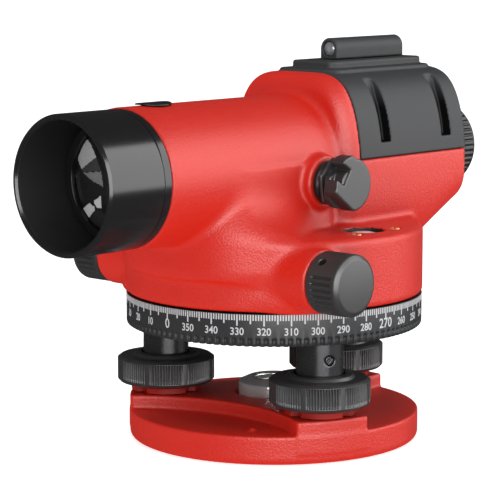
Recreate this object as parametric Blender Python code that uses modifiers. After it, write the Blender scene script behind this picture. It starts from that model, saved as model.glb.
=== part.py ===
"""Automatic level: a surveyor's telescope on a levelling base, as an assembly of separate pieces.

World frame: metres, +Z up along the standing axis, origin on that axis at the underside of the base plate.
The telescope looks along -Y, the eyepiece is at +Y, and the focus knob and round bubble are at +X.
"""
import math

import bpy
import bmesh
from math import cos, sin, pi, radians
from mathutils import Matrix, Vector

MM = 0.001
GAP = 0.3 * MM                     # clearance kept between neighbouring pieces
MERGE = 0.00001

# ---- base plate -------------------------------------------------------------------------------------------
BASE_RADIUS = 53.9 * MM
BASE_FLOOR = 10.5 * MM             # top of the rim between the pads
PAD_TOP = 15.7 * MM                # top of the three pads and the star that joins them
POCKET_RADIUS = 63.3 * MM          # each pocket between two pads is cut by an arc of this radius
POCKET_DISTANCE = 88.6 * MM        # from the standing axis to the arc's centre
FOOT_ANGLE = 65.6                  # degrees from -Y towards +X, first foot screw; the others follow at 120
FOOT_PITCH = 40.9 * MM             # standing axis to foot screw axis
SOCKET_RADIUS = 6.3 * MM
SOCKET_FLOOR = 8.0 * MM
BUSH_RADIUS = 13.3 * MM            # nickel bush for the tripod bolt
BUSH_SEAT = 13.0 * MM
BUSH_TOP = 21.8 * MM
BUSH_SHOULDER = 19.9 * MM
BUSH_SPIGOT = 10.7 * MM
TRIPOD_BORE = 7.2 * MM             # 5/8 inch tripod bolt

# ---- foot screws ------------------------------------------------------------------------------------------
KNOB_RADIUS = 18.2 * MM
KNOB_BOTTOM = 19.2 * MM
KNOB_TOP = 29.0 * MM
COLLAR_TOP = 30.4 * MM
COLLAR_RADIUS = 12.6 * MM
SLEEVE_RADIUS = 8.5 * MM
SLEEVE_BORE = 4.6 * MM
SLEEVE_BOTTOM = 27.9 * MM
SPINDLE_RADIUS = 4.0 * MM
SPINDLE_TOP = 42.5 * MM
BALL_RADIUS = 5.0 * MM
BALL_CENTRE = 13.4 * MM
CAP_RADIUS = 13.0 * MM
CAP_TOP = 18.7 * MM
SLEEVE_SCREW_HEIGHT = 36.1 * MM

# ---- tribrach, circle and bearing -------------------------------------------------------------------------
TRIBRACH_BOTTOM = 44.0 * MM
TRIBRACH_TOP = 49.9 * MM
TRIBRACH_RADIUS = 49.4 * MM
CIRCLE_RADIUS = 55.0 * MM
CIRCLE_INNER = 50.0 * MM
CIRCLE_BOTTOM = 42.6 * MM
CIRCLE_TOP = 54.4 * MM
CIRCLE_FLANGE_RADIUS = 40.0 * MM
CIRCLE_FLANGE_TOP = 52.4 * MM
JOURNAL_RADIUS = 9.0 * MM
AXIS_BUSH_RADIUS = 14.0 * MM
AXIS_BUSH_TOP = 69.6 * MM
WHEEL_TEETH = 72
WHEEL_TIP = 27.6 * MM
WHEEL_ROOT = 26.4 * MM
WHEEL_HALF_WIDTH = 2.4 * MM

# ---- body casting -----------------------------------------------------------------------------------------
DRUM_RADIUS = 55.2 * MM
SKIRT_RADIUS = 54.6 * MM           # skirt that runs from the drum up to the neck under the telescope
SKIRT_ANGLE = 53                   # degrees each way from -Y that the skirt reaches round the drum
NECK_HALF_WIDTH = 25.3 * MM
NECK_TOP = 97.3 * MM
NECK_FRONT = -52.0 * MM
NECK_NOSE = -14.0 * MM             # where the nose's rounding ends, and the skirt's rear wall meets the neck
NECK_REAR = 10.0 * MM
DRUM_BOTTOM = 54.9 * MM
DRUM_TOP = 79.8 * MM               # flat ledge that carries the round bubble
DRUM_INNER = 50.2 * MM
DRUM_CEILING = 76.0 * MM
SIGHT_AXIS = 102.2 * MM            # height of the telescope's line of sight
TUBE_RADIUS = 24.85 * MM
TUBE_FRONT = -78.3 * MM
TUBE_BORE = 21.9 * MM
CHAMBER_HALF_WIDTH = 30.0 * MM     # prism chamber behind the standing axis
CHAMBER_MID = 98.0 * MM            # height where the chamber is widest
CHAMBER_CROWN = 37.0 * MM          # rise of the crown above that height
CHAMBER_DEPTH = 28.0 * MM          # drop of the floor below that height
CHAMBER_FRONT = 7.5 * MM
CHAMBER_REAR = 78.3 * MM
HEEL_START = 57.6 * MM             # the underside rises from here to the rear wall
HEEL_SLOPE = 0.643
WALL = 3.0 * MM
COVER_SPLIT = 104.0 * MM           # lower edge of the top cover
COVER_FRONT = 14.5 * MM
COVER_WALL = 3.4 * MM

# ---- telescope --------------------------------------------------------------------------------------------
SUNSHADE_FRONT = -107.3 * MM
SUNSHADE_REAR = -81.9 * MM
SUNSHADE_RADIUS = 24.4 * MM
SUNSHADE_INNER = 22.2 * MM
OBJECTIVE_FLANGE_FRONT = -81.6 * MM
OBJECTIVE_FRONT = -84.8 * MM
OBJECTIVE_BORE = 18.7 * MM
BADGE_CENTRE = -63.0 * MM
BADGE_HALF_LENGTH = 7.3 * MM
BADGE_HALF_ANGLE = radians(12)     # half its width, round the tube
BADGE_THICKNESS = 1.0 * MM         # its top above the tube
EYEPIECE_REAR = 107.3 * MM
EYEPIECE_RADIUS = 17.0 * MM
FOCUS_AXIS_Y = -4.0 * MM
FOCUS_AXIS_Z = 97.2 * MM
FOCUS_KNOB_FACE = 42.0 * MM
FOCUS_KNOB_BACK = 32.6 * MM
FOCUS_KNOB_RADIUS = 9.6 * MM
NOTCH_ANGLE = -123                 # degrees about the knob's axis, from straight down towards the rear
PINION_TEETH = 13
MODULE = 0.5 * MM
PINION_PITCH = PINION_TEETH * MODULE / 2
RACK_TEETH = 19
CELL_RADIUS = 14.0 * MM
GUIDE_INNER = 14.3 * MM
GUIDE_OUTER = 16.0 * MM

# ---- tangent drive ----------------------------------------------------------------------------------------
TANGENT_Y = -31.0 * MM
TANGENT_Z = 66.4 * MM
TANGENT_FACE = 66.0 * MM
DRIVE_SCREW_TILT = radians(40)     # the grub screw's lean from straight up towards the front
TANGENT_BACK = 51.8 * MM
TANGENT_RADIUS = 11.0 * MM
BOSS_RADIUS = 11.2 * MM
BOSS_FACE = 51.4 * MM
WORM_TIP = 4.0 * MM
WORM_ROOT = 3.0 * MM
WORM_HALF_LENGTH = 8.0 * MM
WORM_LEAD = 2 * pi * 27.2 * MM / WHEEL_TEETH

# ---- round bubble -----------------------------------------------------------------------------------------
BUBBLE_X = 39.2 * MM
BUBBLE_Y = 4.6 * MM
BUBBLE_RADIUS = 7.6 * MM
BUBBLE_SCREW_PITCH = 12.3 * MM
BUBBLE_SCREW_ANGLES = (-62, 62, 180)

# ---- collimating sight ------------------------------------------------------------------------------------
PLATE_TOP = 138.7 * MM
STEP_TOP = 135.7 * MM              # lower step of the raised panel
PANEL_ROOT = 125 * MM
# side view of a cover groove: deep at its lower end, and running out at the shoulder; (x, z) in millimetres
GROOVE_SECTION = ((26.4, 109.3), (25.0, 115.0), (23.2, 121.0), (21.0, 126.5), (18.9, 132.6), (40.0, 132.6),
                  (40.0, 109.3))
SIGHT_TOP = 146.8 * MM
SIGHT_HALF_WIDTH = 4.1 * MM
SIGHT_FRONT = 30.7 * MM
SIGHT_REAR = 70.5 * MM
SIGHT_BORE = 2.9 * MM

# rotations that turn a local +Z axis to a world direction
TO_REAR = (-pi / 2, 0, 0)
TO_FRONT = (pi / 2, 0, 0)
TO_LEFT = (0, pi / 2, 0)
TO_RIGHT = (0, -pi / 2, 0)

for old in list(bpy.data.objects):
    bpy.data.objects.remove(old, do_unlink=True)

scene_root = bpy.context.scene.collection
parts = bpy.data.collections.new("automatic_level")
cutters = bpy.data.collections.new("cutters")
scene_root.children.link(parts)
scene_root.children.link(cutters)


# ---- materials --------------------------------------------------------------------------------------------
def make_material(name, colour, roughness, metallic=0.0, alpha=1.0):
    material = bpy.data.materials.new(name)
    material.use_nodes = True
    shader = material.node_tree.nodes["Principled BSDF"]
    shader.inputs["Base Color"].default_value = (*colour, 1.0)
    shader.inputs["Roughness"].default_value = roughness
    shader.inputs["Metallic"].default_value = metallic
    shader.inputs["Alpha"].default_value = alpha
    material.diffuse_color = (*colour, alpha)
    return material


RED_PAINT = make_material("red_powder_coat", (0.72, 0.025, 0.014), 0.32)
BLACK_PLASTIC = make_material("black_plastic", (0.035, 0.035, 0.037), 0.45)
BLACK_PAINT = make_material("black_anodised", (0.012, 0.012, 0.013), 0.30, 0.3)
GUNMETAL = make_material("gunmetal_steel", (0.10, 0.10, 0.10), 0.28, 0.9)
NICKEL = make_material("nickel_plate", (0.62, 0.62, 0.63), 0.22, 1.0)
STEEL = make_material("bright_steel", (0.50, 0.50, 0.51), 0.30, 1.0)
BRASS = make_material("brass", (0.72, 0.48, 0.20), 0.30, 1.0)
ALUMINIUM = make_material("aluminium", (0.60, 0.61, 0.62), 0.35, 1.0)
GLASS = make_material("optical_glass", (0.75, 0.82, 0.86), 0.03, 0.0, 0.35)
VIAL_GLASS = make_material("vial_glass", (0.80, 0.86, 0.92), 0.05, 0.0, 0.6)


# ---- helpers ----------------------------------------------------------------------------------------------
def add_empty(name, location):
    empty = bpy.data.objects.new(name, None)
    empty.location = location
    empty.empty_display_size = 0.01
    parts.objects.link(empty)
    return empty


def link_mesh(name, mesh, material, smooth=True, as_cutter=False):
    obj = bpy.data.objects.new(name, mesh)
    (cutters if as_cutter else parts).objects.link(obj)
    if as_cutter:
        obj.hide_render = True
        obj.display_type = "WIRE"
    else:
        mesh.materials.append(material)
    if smooth:
        mesh.shade_smooth()
        mesh.set_sharp_from_angle(angle=radians(35))
    return obj


def from_bmesh(name, bm, material=None, smooth=True, as_cutter=False):
    bmesh.ops.recalc_face_normals(bm, faces=bm.faces)
    mesh = bpy.data.meshes.new(name)
    bm.to_mesh(mesh)
    bm.free()
    return link_mesh(name, mesh, material, smooth, as_cutter)


def turned(name, profile, steps, material=None, closed=False, as_cutter=False):
    """A turned piece about local Z. The profile of (radius, height) runs out over the top and down the side."""
    mesh = bpy.data.meshes.new(name)
    points = [(r, 0, z) for r, z in profile]
    edges = [(i, i + 1) for i in range(len(points) - 1)]
    if closed:
        edges.append((len(points) - 1, 0))
    mesh.from_pydata(points, edges, [])
    obj = link_mesh(name, mesh, material, False, as_cutter)
    screw = obj.modifiers.new("turn", "SCREW")
    screw.steps = screw.render_steps = steps
    screw.use_merge_vertices = True
    screw.merge_threshold = MERGE
    screw.use_smooth_shade = True
    return obj


def tube_profile(outer, inner, low, high, chamfer=0.0):
    """Closed section of a plain ring, with optional chamfers on its outer edges."""
    if chamfer:
        return [(inner, high), (outer - chamfer, high), (outer, high - chamfer),
                (outer, low + chamfer), (outer - chamfer, low), (inner, low)]
    return [(inner, high), (outer, high), (outer, low), (inner, low)]


def rod_profile(radius, low, high, chamfer=0.0):
    """Open section of a plain round bar, from the axis to the axis."""
    if chamfer:
        return [(0, high), (radius - chamfer, high), (radius, high - chamfer),
                (radius, low + chamfer), (radius - chamfer, low), (0, low)]
    return [(0, high), (radius, high), (radius, low), (0, low)]


def box(name, low, high, material=None, as_cutter=False):
    bm = bmesh.new()
    size = Vector(high) - Vector(low)
    centre = (Vector(high) + Vector(low)) / 2
    bmesh.ops.create_cube(bm, size=1, matrix=Matrix.Translation(centre) @ Matrix.Diagonal((*size, 1)))
    return from_bmesh(name, bm, material, smooth=False, as_cutter=as_cutter)


def cylinder(name, radius, low, high, location=(0, 0, 0), rotation=(0, 0, 0), segments=24):
    """A round cutter or joining piece along its local Z, from low to high."""
    bm = bmesh.new()
    bmesh.ops.create_cone(bm, cap_ends=True, segments=segments, radius1=radius, radius2=radius, depth=high - low,
                          matrix=Matrix.Translation((0, 0, (low + high) / 2)))
    obj = from_bmesh(name, bm, as_cutter=True)
    obj.location = location
    obj.rotation_euler = rotation
    return obj


def combine(obj, tool, operation):
    modifier = obj.modifiers.new(operation.lower(), "BOOLEAN")
    modifier.operation = operation
    modifier.object = tool
    return obj


def place(obj, parent=None, location=(0, 0, 0), rotation=(0, 0, 0)):
    obj.parent = parent
    obj.location = location
    obj.rotation_euler = rotation
    return obj


def loft(name, sections, material=None, as_cutter=False):
    """A closed solid through rings of equally many points, capped at both ends."""
    bm = bmesh.new()
    rings = [[bm.verts.new(point) for point in section] for section in sections]
    count = len(rings[0])
    for lower, upper in zip(rings, rings[1:]):
        for i in range(count):
            j = (i + 1) % count
            bm.faces.new((lower[i], lower[j], upper[j], upper[i]))
    bm.faces.new(rings[0])
    bm.faces.new(rings[-1])
    return from_bmesh(name, bm, material, True, as_cutter)


def prism(name, outline, low, high, material=None, as_cutter=False):
    """A flat outline of (x, y) points raised along local Z from low to high."""
    return loft(name, [[(x, y, z) for x, y in outline] for z in (low, high)], material, as_cutter)


def gear_outline(teeth, tip, root, tip_share, root_share, phase=0.0):
    """A toothed outline; the shares are the tooth's width at tip and root as parts of the tooth pitch."""
    points = []
    for i in range(teeth):
        centre = phase + (i + 0.5) * 2 * pi / teeth
        for radius, share in ((root, -root_share), (tip, -tip_share), (tip, tip_share), (root, root_share)):
            angle = centre + share * pi / teeth
            points.append((radius * cos(angle), radius * sin(angle)))
    return points


def direction(angle):
    """Unit vector in the XY plane, from an angle in degrees measured from -Y towards +X."""
    return Vector((sin(radians(angle)), -cos(radians(angle)), 0))


def chamber_section(y, inset=0.0, scale=1.0, steps=8):
    """The prism chamber's outline at y: a flattened crown above, rounded flanks and a broad floor below."""
    width = (CHAMBER_HALF_WIDTH - inset) * scale
    rise = (CHAMBER_CROWN - inset) * scale
    drop = (CHAMBER_DEPTH - max(0.0, y - HEEL_START) * HEEL_SLOPE - inset) * scale
    quarter = [pi / 2 * i / steps for i in range(steps + 1)]
    crown = [(width * cos(t) ** (2 / 4.6), rise * sin(t) ** (2 / 1.9)) for t in quarter[:-1]]
    floor = [(width * cos(t) ** (2 / 5.0), -drop * sin(t) ** (2 / 3.0)) for t in quarter[1:-1]]
    right = floor[::-1] + crown
    outline = right + [(0.0, rise)] + [(-x, z) for x, z in right[::-1]] + [(0.0, -drop)]
    return [(x, y, CHAMBER_MID + z) for x, z in outline]


# ---- base -------------------------------------------------------------------------------------------------
def build_base():
    base = turned("base_plate", [
        (0, PAD_TOP), (BASE_RADIUS - 0.6 * MM, PAD_TOP), (BASE_RADIUS, PAD_TOP - 0.6 * MM),
        (BASE_RADIUS, 3.0 * MM), (BASE_RADIUS - 1.0 * MM, 0.9 * MM), (BASE_RADIUS - 3.0 * MM, 0), (0, 0)],
        54, RED_PAINT)
    for k in range(3):
        centre = direction(FOOT_ANGLE - 60 + 120 * k) * POCKET_DISTANCE
        combine(base, cylinder(f"pocket_cut_{k + 1}", POCKET_RADIUS, BASE_FLOOR, PAD_TOP + 2 * MM,
                               centre, segments=60), "DIFFERENCE")
        seat = direction(FOOT_ANGLE + 120 * k) * FOOT_PITCH
        combine(base, cylinder(f"socket_cut_{k + 1}", SOCKET_RADIUS, SOCKET_FLOOR, PAD_TOP + 2 * MM, seat),
                "DIFFERENCE")
    combine(base, cylinder("bush_seat_cut", BUSH_RADIUS + 0.9 * MM, BUSH_SEAT, PAD_TOP + 2 * MM, segments=32),
            "DIFFERENCE")
    combine(base, cylinder("bush_bore_cut", BUSH_SPIGOT + GAP, -MM, PAD_TOP, segments=32), "DIFFERENCE")

    turned("tripod_bush", [
        (TRIPOD_BORE, BUSH_TOP), (9.2 * MM, BUSH_TOP), (BUSH_RADIUS, BUSH_SHOULDER),
        (BUSH_RADIUS, BUSH_SEAT + GAP), (BUSH_SPIGOT, BUSH_SEAT + GAP), (BUSH_SPIGOT, GAP), (TRIPOD_BORE, GAP)],
        24, NICKEL, closed=True)


def build_foot_screw(number):
    axis = add_empty(f"foot_axis_{number}", direction(FOOT_ANGLE + 120 * (number - 1)) * FOOT_PITCH)
    outward = radians(FOOT_ANGLE + 120 * (number - 1)) - pi / 2

    cap = turned(f"foot_cap_{number}", tube_profile(CAP_RADIUS, 4.8 * MM, PAD_TOP + GAP, CAP_TOP, 0.8 * MM),
                 20, RED_PAINT, closed=True)
    place(cap, axis)

    ball = [(0, BALL_CENTRE - BALL_RADIUS)]
    ball += [(BALL_RADIUS * sin(radians(a)), BALL_CENTRE - BALL_RADIUS * cos(radians(a))) for a in range(20, 127, 20)]
    spindle = turned(f"foot_spindle_{number}", [
        (0, SPINDLE_TOP), (SPINDLE_RADIUS - 0.6 * MM, SPINDLE_TOP), (SPINDLE_RADIUS, SPINDLE_TOP - 0.6 * MM),
        (SPINDLE_RADIUS, 18.9 * MM)] + ball[::-1], 12, STEEL)
    place(spindle, axis)

    knob = turned(f"foot_knob_{number}", [
        (9.2 * MM, COLLAR_TOP), (11.6 * MM, COLLAR_TOP), (COLLAR_RADIUS, KNOB_TOP),
        (KNOB_RADIUS - 1.0 * MM, KNOB_TOP), (KNOB_RADIUS, KNOB_TOP - 1.2 * MM),
        (KNOB_RADIUS, KNOB_BOTTOM + 1.0 * MM), (KNOB_RADIUS - 1.2 * MM, KNOB_BOTTOM),
        (SPINDLE_RADIUS + GAP, KNOB_BOTTOM), (SPINDLE_RADIUS + GAP, 26.9 * MM), (9.2 * MM, 26.9 * MM)],
        24, BLACK_PLASTIC, closed=True)
    place(knob, axis)

    sleeve = turned(f"adjusting_sleeve_{number}",
                    tube_profile(SLEEVE_RADIUS, SLEEVE_BORE, SLEEVE_BOTTOM, TRIBRACH_BOTTOM - GAP, 0.5 * MM),
                    18, GUNMETAL, closed=True)
    place(sleeve, axis)
    hole = cylinder(f"sleeve_hole_cut_{number}", 1.8 * MM, SLEEVE_BORE + 0.4 * MM - 2 * MM, SLEEVE_RADIUS + MM,
                    segments=12)
    place(hole, axis, (0, 0, SLEEVE_SCREW_HEIGHT), (0, pi / 2, outward))
    combine(sleeve, hole, "DIFFERENCE")
    grub = turned(f"sleeve_screw_{number}", rod_profile(1.4 * MM, 5.2 * MM, 8.0 * MM, 0.3 * MM), 12, STEEL)
    place(grub, axis, (0, 0, SLEEVE_SCREW_HEIGHT), (0, pi / 2, outward))


# ---- tribrach, circle and bearing -------------------------------------------------------------------------
def build_tribrach():
    turned("tribrach_plate", [
        (AXIS_BUSH_RADIUS + GAP, TRIBRACH_TOP), (TRIBRACH_RADIUS - MM, TRIBRACH_TOP),
        (TRIBRACH_RADIUS, TRIBRACH_TOP - MM), (TRIBRACH_RADIUS, TRIBRACH_BOTTOM),
        (AXIS_BUSH_RADIUS + GAP, TRIBRACH_BOTTOM)], 48, BLACK_PAINT, closed=True)
    turned("axis_bush", [
        (JOURNAL_RADIUS + GAP, AXIS_BUSH_TOP), (AXIS_BUSH_RADIUS, AXIS_BUSH_TOP), (AXIS_BUSH_RADIUS, 60.0 * MM),
        (17.5 * MM, 60.0 * MM), (17.5 * MM, 53.0 * MM), (24.0 * MM, 53.0 * MM),
        (24.0 * MM, TRIBRACH_TOP + GAP), (AXIS_BUSH_RADIUS, TRIBRACH_TOP + GAP),
        (AXIS_BUSH_RADIUS, TRIBRACH_BOTTOM + MM), (JOURNAL_RADIUS + GAP, TRIBRACH_BOTTOM + MM)],
        20, BRASS, closed=True)
    turned("horizontal_circle", [
        (CIRCLE_FLANGE_RADIUS, CIRCLE_FLANGE_TOP), (CIRCLE_INNER, CIRCLE_FLANGE_TOP), (CIRCLE_INNER, CIRCLE_TOP),
        (CIRCLE_RADIUS, CIRCLE_TOP), (CIRCLE_RADIUS, CIRCLE_BOTTOM + 1.2 * MM),
        (CIRCLE_RADIUS - 1.2 * MM, CIRCLE_BOTTOM), (CIRCLE_INNER, CIRCLE_BOTTOM),
        (CIRCLE_INNER, TRIBRACH_TOP + GAP), (CIRCLE_FLANGE_RADIUS, TRIBRACH_TOP + GAP)],
        60, BLACK_PAINT, closed=True)

    wheel = prism("worm_wheel", gear_outline(WHEEL_TEETH, WHEEL_TIP, WHEEL_ROOT, 0.28, 0.5, -pi / 2),
                  TANGENT_Z - WHEEL_HALF_WIDTH, TANGENT_Z + WHEEL_HALF_WIDTH, BRASS)
    combine(wheel, cylinder("wheel_hub", 19.0 * MM, 60.3 * MM, TANGENT_Z, segments=32), "UNION")
    combine(wheel, cylinder("wheel_bore_cut", AXIS_BUSH_RADIUS + GAP, 55 * MM, 75 * MM, segments=32), "DIFFERENCE")

    turned("standing_spindle", [
        (0, DRUM_CEILING - GAP), (20.0 * MM, DRUM_CEILING - GAP), (20.0 * MM, 72.0 * MM), (12.0 * MM, 70.2 * MM),
        (JOURNAL_RADIUS, 70.2 * MM), (JOURNAL_RADIUS, 45.5 * MM), (5.0 * MM, 45.5 * MM), (5.0 * MM, 41.5 * MM),
        (0, 41.5 * MM)], 20, STEEL)
    turned("spindle_nut", [
        (6.2 * MM, 44.6 * MM), (11.5 * MM, 44.6 * MM), (11.5 * MM, 41.9 * MM), (6.2 * MM, 41.9 * MM)],
        6, STEEL, closed=True)


# ---- body casting -----------------------------------------------------------------------------------------
def neck_section(z, share, radius=SKIRT_RADIUS, steps=24):
    """Level section of the neck under the telescope: share 0 is the skirt's wide arc, 1 the neck's square nose."""
    points = []
    for i in range(steps + 1):
        s = 2 * i / steps - 1
        skirt = direction(SKIRT_ANGLE * s) * radius
        across, ahead = sin(radians(90 * s)), cos(radians(90 * s))
        nose_x = math.copysign(abs(across) ** 0.5, across) * NECK_HALF_WIDTH
        nose_y = (NECK_FRONT - NECK_NOSE) * abs(ahead) ** 0.5 + NECK_NOSE
        points.append((skirt.x + (nose_x - skirt.x) * share, skirt.y + (nose_y - skirt.y) * share, z))
    return points + [(NECK_HALF_WIDTH, NECK_REAR, z), (-NECK_HALF_WIDTH, NECK_REAR, z)]


def build_body():
    body = turned("body_housing", [
        (0, DRUM_TOP), (DRUM_RADIUS - 0.8 * MM, DRUM_TOP), (DRUM_RADIUS, DRUM_TOP - 0.8 * MM),
        (DRUM_RADIUS, DRUM_BOTTOM), (0, DRUM_BOTTOM)], 60, RED_PAINT)

    saddle = loft("saddle_form", [
        neck_section(70 * MM, 0.0), neck_section(78.6 * MM, 0.04), neck_section(81.3 * MM, 0.36),
        neck_section(83.2 * MM, 0.70), neck_section(85.4 * MM, 0.94), neck_section(88 * MM, 1.0),
        neck_section(NECK_TOP, 1.0)], as_cutter=True)
    combine(body, cylinder("tube_form", TUBE_RADIUS, TUBE_FRONT, 18 * MM, (0, 0, SIGHT_AXIS), TO_REAR, 40), "UNION")
    combine(body, loft("chamber_form", [
        chamber_section(CHAMBER_FRONT, scale=0.86), chamber_section(9.0 * MM, scale=0.945),
        chamber_section(12.0 * MM, scale=0.99), chamber_section(COVER_FRONT), chamber_section(HEEL_START),
        chamber_section(68 * MM), chamber_section(75.5 * MM), chamber_section(CHAMBER_REAR, scale=0.93)],
        as_cutter=True), "UNION")
    combine(body, saddle, "UNION")
    combine(body, cylinder("tangent_boss", BOSS_RADIUS, -BOSS_FACE, BOSS_FACE, (0, TANGENT_Y, TANGENT_Z), TO_LEFT),
            "UNION")
    combine(body, cylinder("focus_boss", 9.0 * MM, 12 * MM, 29.2 * MM, (0, FOCUS_AXIS_Y, FOCUS_AXIS_Z), TO_LEFT),
            "UNION")

    # seat of the top cover, which closes the chamber from above
    combine(body, box("cover_seat_cut", (-40 * MM, COVER_FRONT, COVER_SPLIT - GAP), (40 * MM, 90 * MM, 150 * MM),
                      as_cutter=True), "DIFFERENCE")
    # inside of the chamber, open at the top
    combine(body, loft("chamber_cut", [
        chamber_section(COVER_FRONT + 2 * MM, WALL), chamber_section(HEEL_START, WALL),
        chamber_section(CHAMBER_REAR - 6 * MM, WALL + MM)], as_cutter=True), "DIFFERENCE")
    combine(body, cylinder("eyepiece_bore_cut", 13.3 * MM, 60 * MM, 90 * MM, (0, 0, SIGHT_AXIS), TO_REAR, 32),
            "DIFFERENCE")
    combine(body, cylinder("drum_hollow_cut", DRUM_INNER, 50 * MM, DRUM_CEILING, segments=48), "DIFFERENCE")
    combine(body, cylinder("tangent_bore_cut", 4.9 * MM, -70 * MM, 70 * MM, (0, TANGENT_Y, TANGENT_Z), TO_LEFT),
            "DIFFERENCE")
    combine(body, cylinder("focus_bore_cut", 2.4 * MM, 10 * MM, 40 * MM, (0, FOCUS_AXIS_Y, FOCUS_AXIS_Z), TO_LEFT,
                           16), "DIFFERENCE")
    combine(body, cylinder("bubble_window_cut", BUBBLE_RADIUS, 70 * MM, 85 * MM, (BUBBLE_X, BUBBLE_Y, 0)),
            "DIFFERENCE")
    for angle in BUBBLE_SCREW_ANGLES[:2]:
        spot = bubble_screw_place(angle)
        combine(body, cylinder("bubble_screw_cut", 2.2 * MM, 70 * MM, 85 * MM, spot, segments=12), "DIFFERENCE")
    combine(body, cylinder("tube_bore_cut", TUBE_BORE, -90 * MM, 20 * MM, (0, 0, SIGHT_AXIS), TO_REAR, 36),
            "DIFFERENCE")


def bubble_screw_place(angle):
    return (BUBBLE_X + BUBBLE_SCREW_PITCH * cos(radians(angle)), BUBBLE_Y + BUBBLE_SCREW_PITCH * sin(radians(angle)),
            0)


def build_bubble():
    cup = turned("bubble_cup", [
        (0, 73.4 * MM), (8.0 * MM, 73.4 * MM), (8.0 * MM, DRUM_CEILING - GAP), (14.6 * MM, DRUM_CEILING - GAP),
        (14.6 * MM, 73.4 * MM), (9.4 * MM, 73.4 * MM), (9.4 * MM, 71.0 * MM), (0, 71.0 * MM)], 24, ALUMINIUM)
    place(cup, None, (BUBBLE_X, BUBBLE_Y, 0))
    combine(cup, cylinder("cup_trim", DRUM_INNER - GAP, 60 * MM, 90 * MM, segments=48), "INTERSECT")
    dome = [(0, 78.7 * MM), (3.6 * MM, 78.4 * MM), (6.6 * MM, 77.6 * MM), (7.2 * MM, 77.0 * MM)]
    vial = turned("bubble_vial", dome + [(7.2 * MM, 73.7 * MM), (0, 73.7 * MM)], 24, VIAL_GLASS)
    place(vial, None, (BUBBLE_X, BUBBLE_Y, 0))
    for number, angle in enumerate(BUBBLE_SCREW_ANGLES, 1):
        spot = bubble_screw_place(angle)
        combine(cup, cylinder(f"cup_screw_cut_{number}", 1.5 * MM, 65 * MM, 85 * MM, spot, segments=12),
                "DIFFERENCE")
        top = 79.5 * MM if number < 3 else DRUM_CEILING - GAP
        head = 1.9 * MM if number < 3 else 1.2 * MM
        screw = turned(f"bubble_screw_{number}", [
            (0, top), (head - 0.3 * MM, top), (head, top - 0.3 * MM), (head, top - 1.5 * MM),
            (1.2 * MM, top - 1.8 * MM), (1.2 * MM, 70.0 * MM), (0, 70.0 * MM)], 12, BRASS)
        place(screw, None, spot)


# ---- top cover and sight ----------------------------------------------------------------------------------
def rounded_rectangle(half_x, low_y, high_y, radius, steps=4):
    points = []
    for cx, cy, start in ((half_x - radius, high_y - radius, 0), (radius - half_x, high_y - radius, 90),
                          (radius - half_x, low_y + radius, 180), (half_x - radius, low_y + radius, 270)):
        for i in range(steps + 1):
            angle = radians(start + 90 * i / steps)
            points.append((cx + radius * cos(angle), cy + radius * sin(angle)))
    return points


def raised_plate(name, half_x, low_y, high_y, top, corner, slope=0.8 * MM):
    """A raised panel on the cover's crown, its top edge sloped off."""
    lower = rounded_rectangle(half_x, low_y, high_y, corner)
    upper = rounded_rectangle(half_x - slope, low_y + slope, high_y - slope, corner)
    return loft(name, [[(x, y, PANEL_ROOT) for x, y in lower], [(x, y, top - slope) for x, y in lower],
                       [(x, y, top) for x, y in upper]], as_cutter=True)


def build_cover():
    cover = loft("top_cover", [
        chamber_section(COVER_FRONT + GAP), chamber_section(CHAMBER_REAR - 1.2 * MM),
        chamber_section(CHAMBER_REAR, 0.6 * MM)], BLACK_PLASTIC)
    combine(cover, raised_plate("plate_form", 14.5 * MM, 15.6 * MM, 77 * MM, STEP_TOP, 6 * MM), "UNION")
    combine(cover, raised_plate("rib_form", 10.3 * MM, 20.2 * MM, 75 * MM, PLATE_TOP, 3 * MM), "UNION")
    combine(cover, loft("cover_hollow_cut", [
        chamber_section(5 * MM, COVER_WALL), chamber_section(CHAMBER_REAR - COVER_WALL, COVER_WALL)],
        as_cutter=True), "DIFFERENCE")
    combine(cover, box("cover_split_cut", (-40 * MM, 0, 60 * MM), (40 * MM, 90 * MM, COVER_SPLIT), as_cutter=True),
            "DIFFERENCE")
    combine(cover, cylinder("cover_eyepiece_cut", 13.3 * MM, 70 * MM, 90 * MM, (0, 0, SIGHT_AXIS), TO_REAR, 32),
            "DIFFERENCE")
    for side in (-1, 1):
        for k, low_y in enumerate((26.6 * MM, 63.0 * MM)):
            groove = loft(f"groove_cut_{'right' if side < 0 else 'left'}_{k + 1}", [
                [(side * x * MM, low_y, z * MM) for x, z in GROOVE_SECTION],
                [(side * x * MM, low_y + 6.0 * MM, z * MM) for x, z in GROOVE_SECTION]], as_cutter=True)
            combine(cover, groove, "DIFFERENCE")


def build_sight():
    arc = [radians(a) for a in range(0, 181, 15)]
    crown = SIGHT_TOP - SIGHT_HALF_WIDTH
    outline = [(SIGHT_HALF_WIDTH * cos(a), crown + SIGHT_HALF_WIDTH * sin(a)) for a in arc]
    outline += [(-SIGHT_HALF_WIDTH, PLATE_TOP + GAP), (SIGHT_HALF_WIDTH, PLATE_TOP + GAP)]
    sight = loft("sight_housing", [[(x, y, z) for x, z in outline] for y in (SIGHT_FRONT, SIGHT_REAR)],
                 BLACK_PLASTIC)
    combine(sight, cylinder("sight_bore_cut", SIGHT_BORE, 20 * MM, 80 * MM, (0, 0, crown), TO_REAR, 20),
            "DIFFERENCE")
    for name, low in (("sight_window_front", SIGHT_FRONT + 0.6 * MM), ("sight_window_rear", SIGHT_REAR - 2.6 * MM)):
        window = turned(name, rod_profile(SIGHT_BORE - GAP, low, low + 2 * MM), 20, GLASS)
        place(window, None, (0, 0, crown), TO_REAR)


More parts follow.
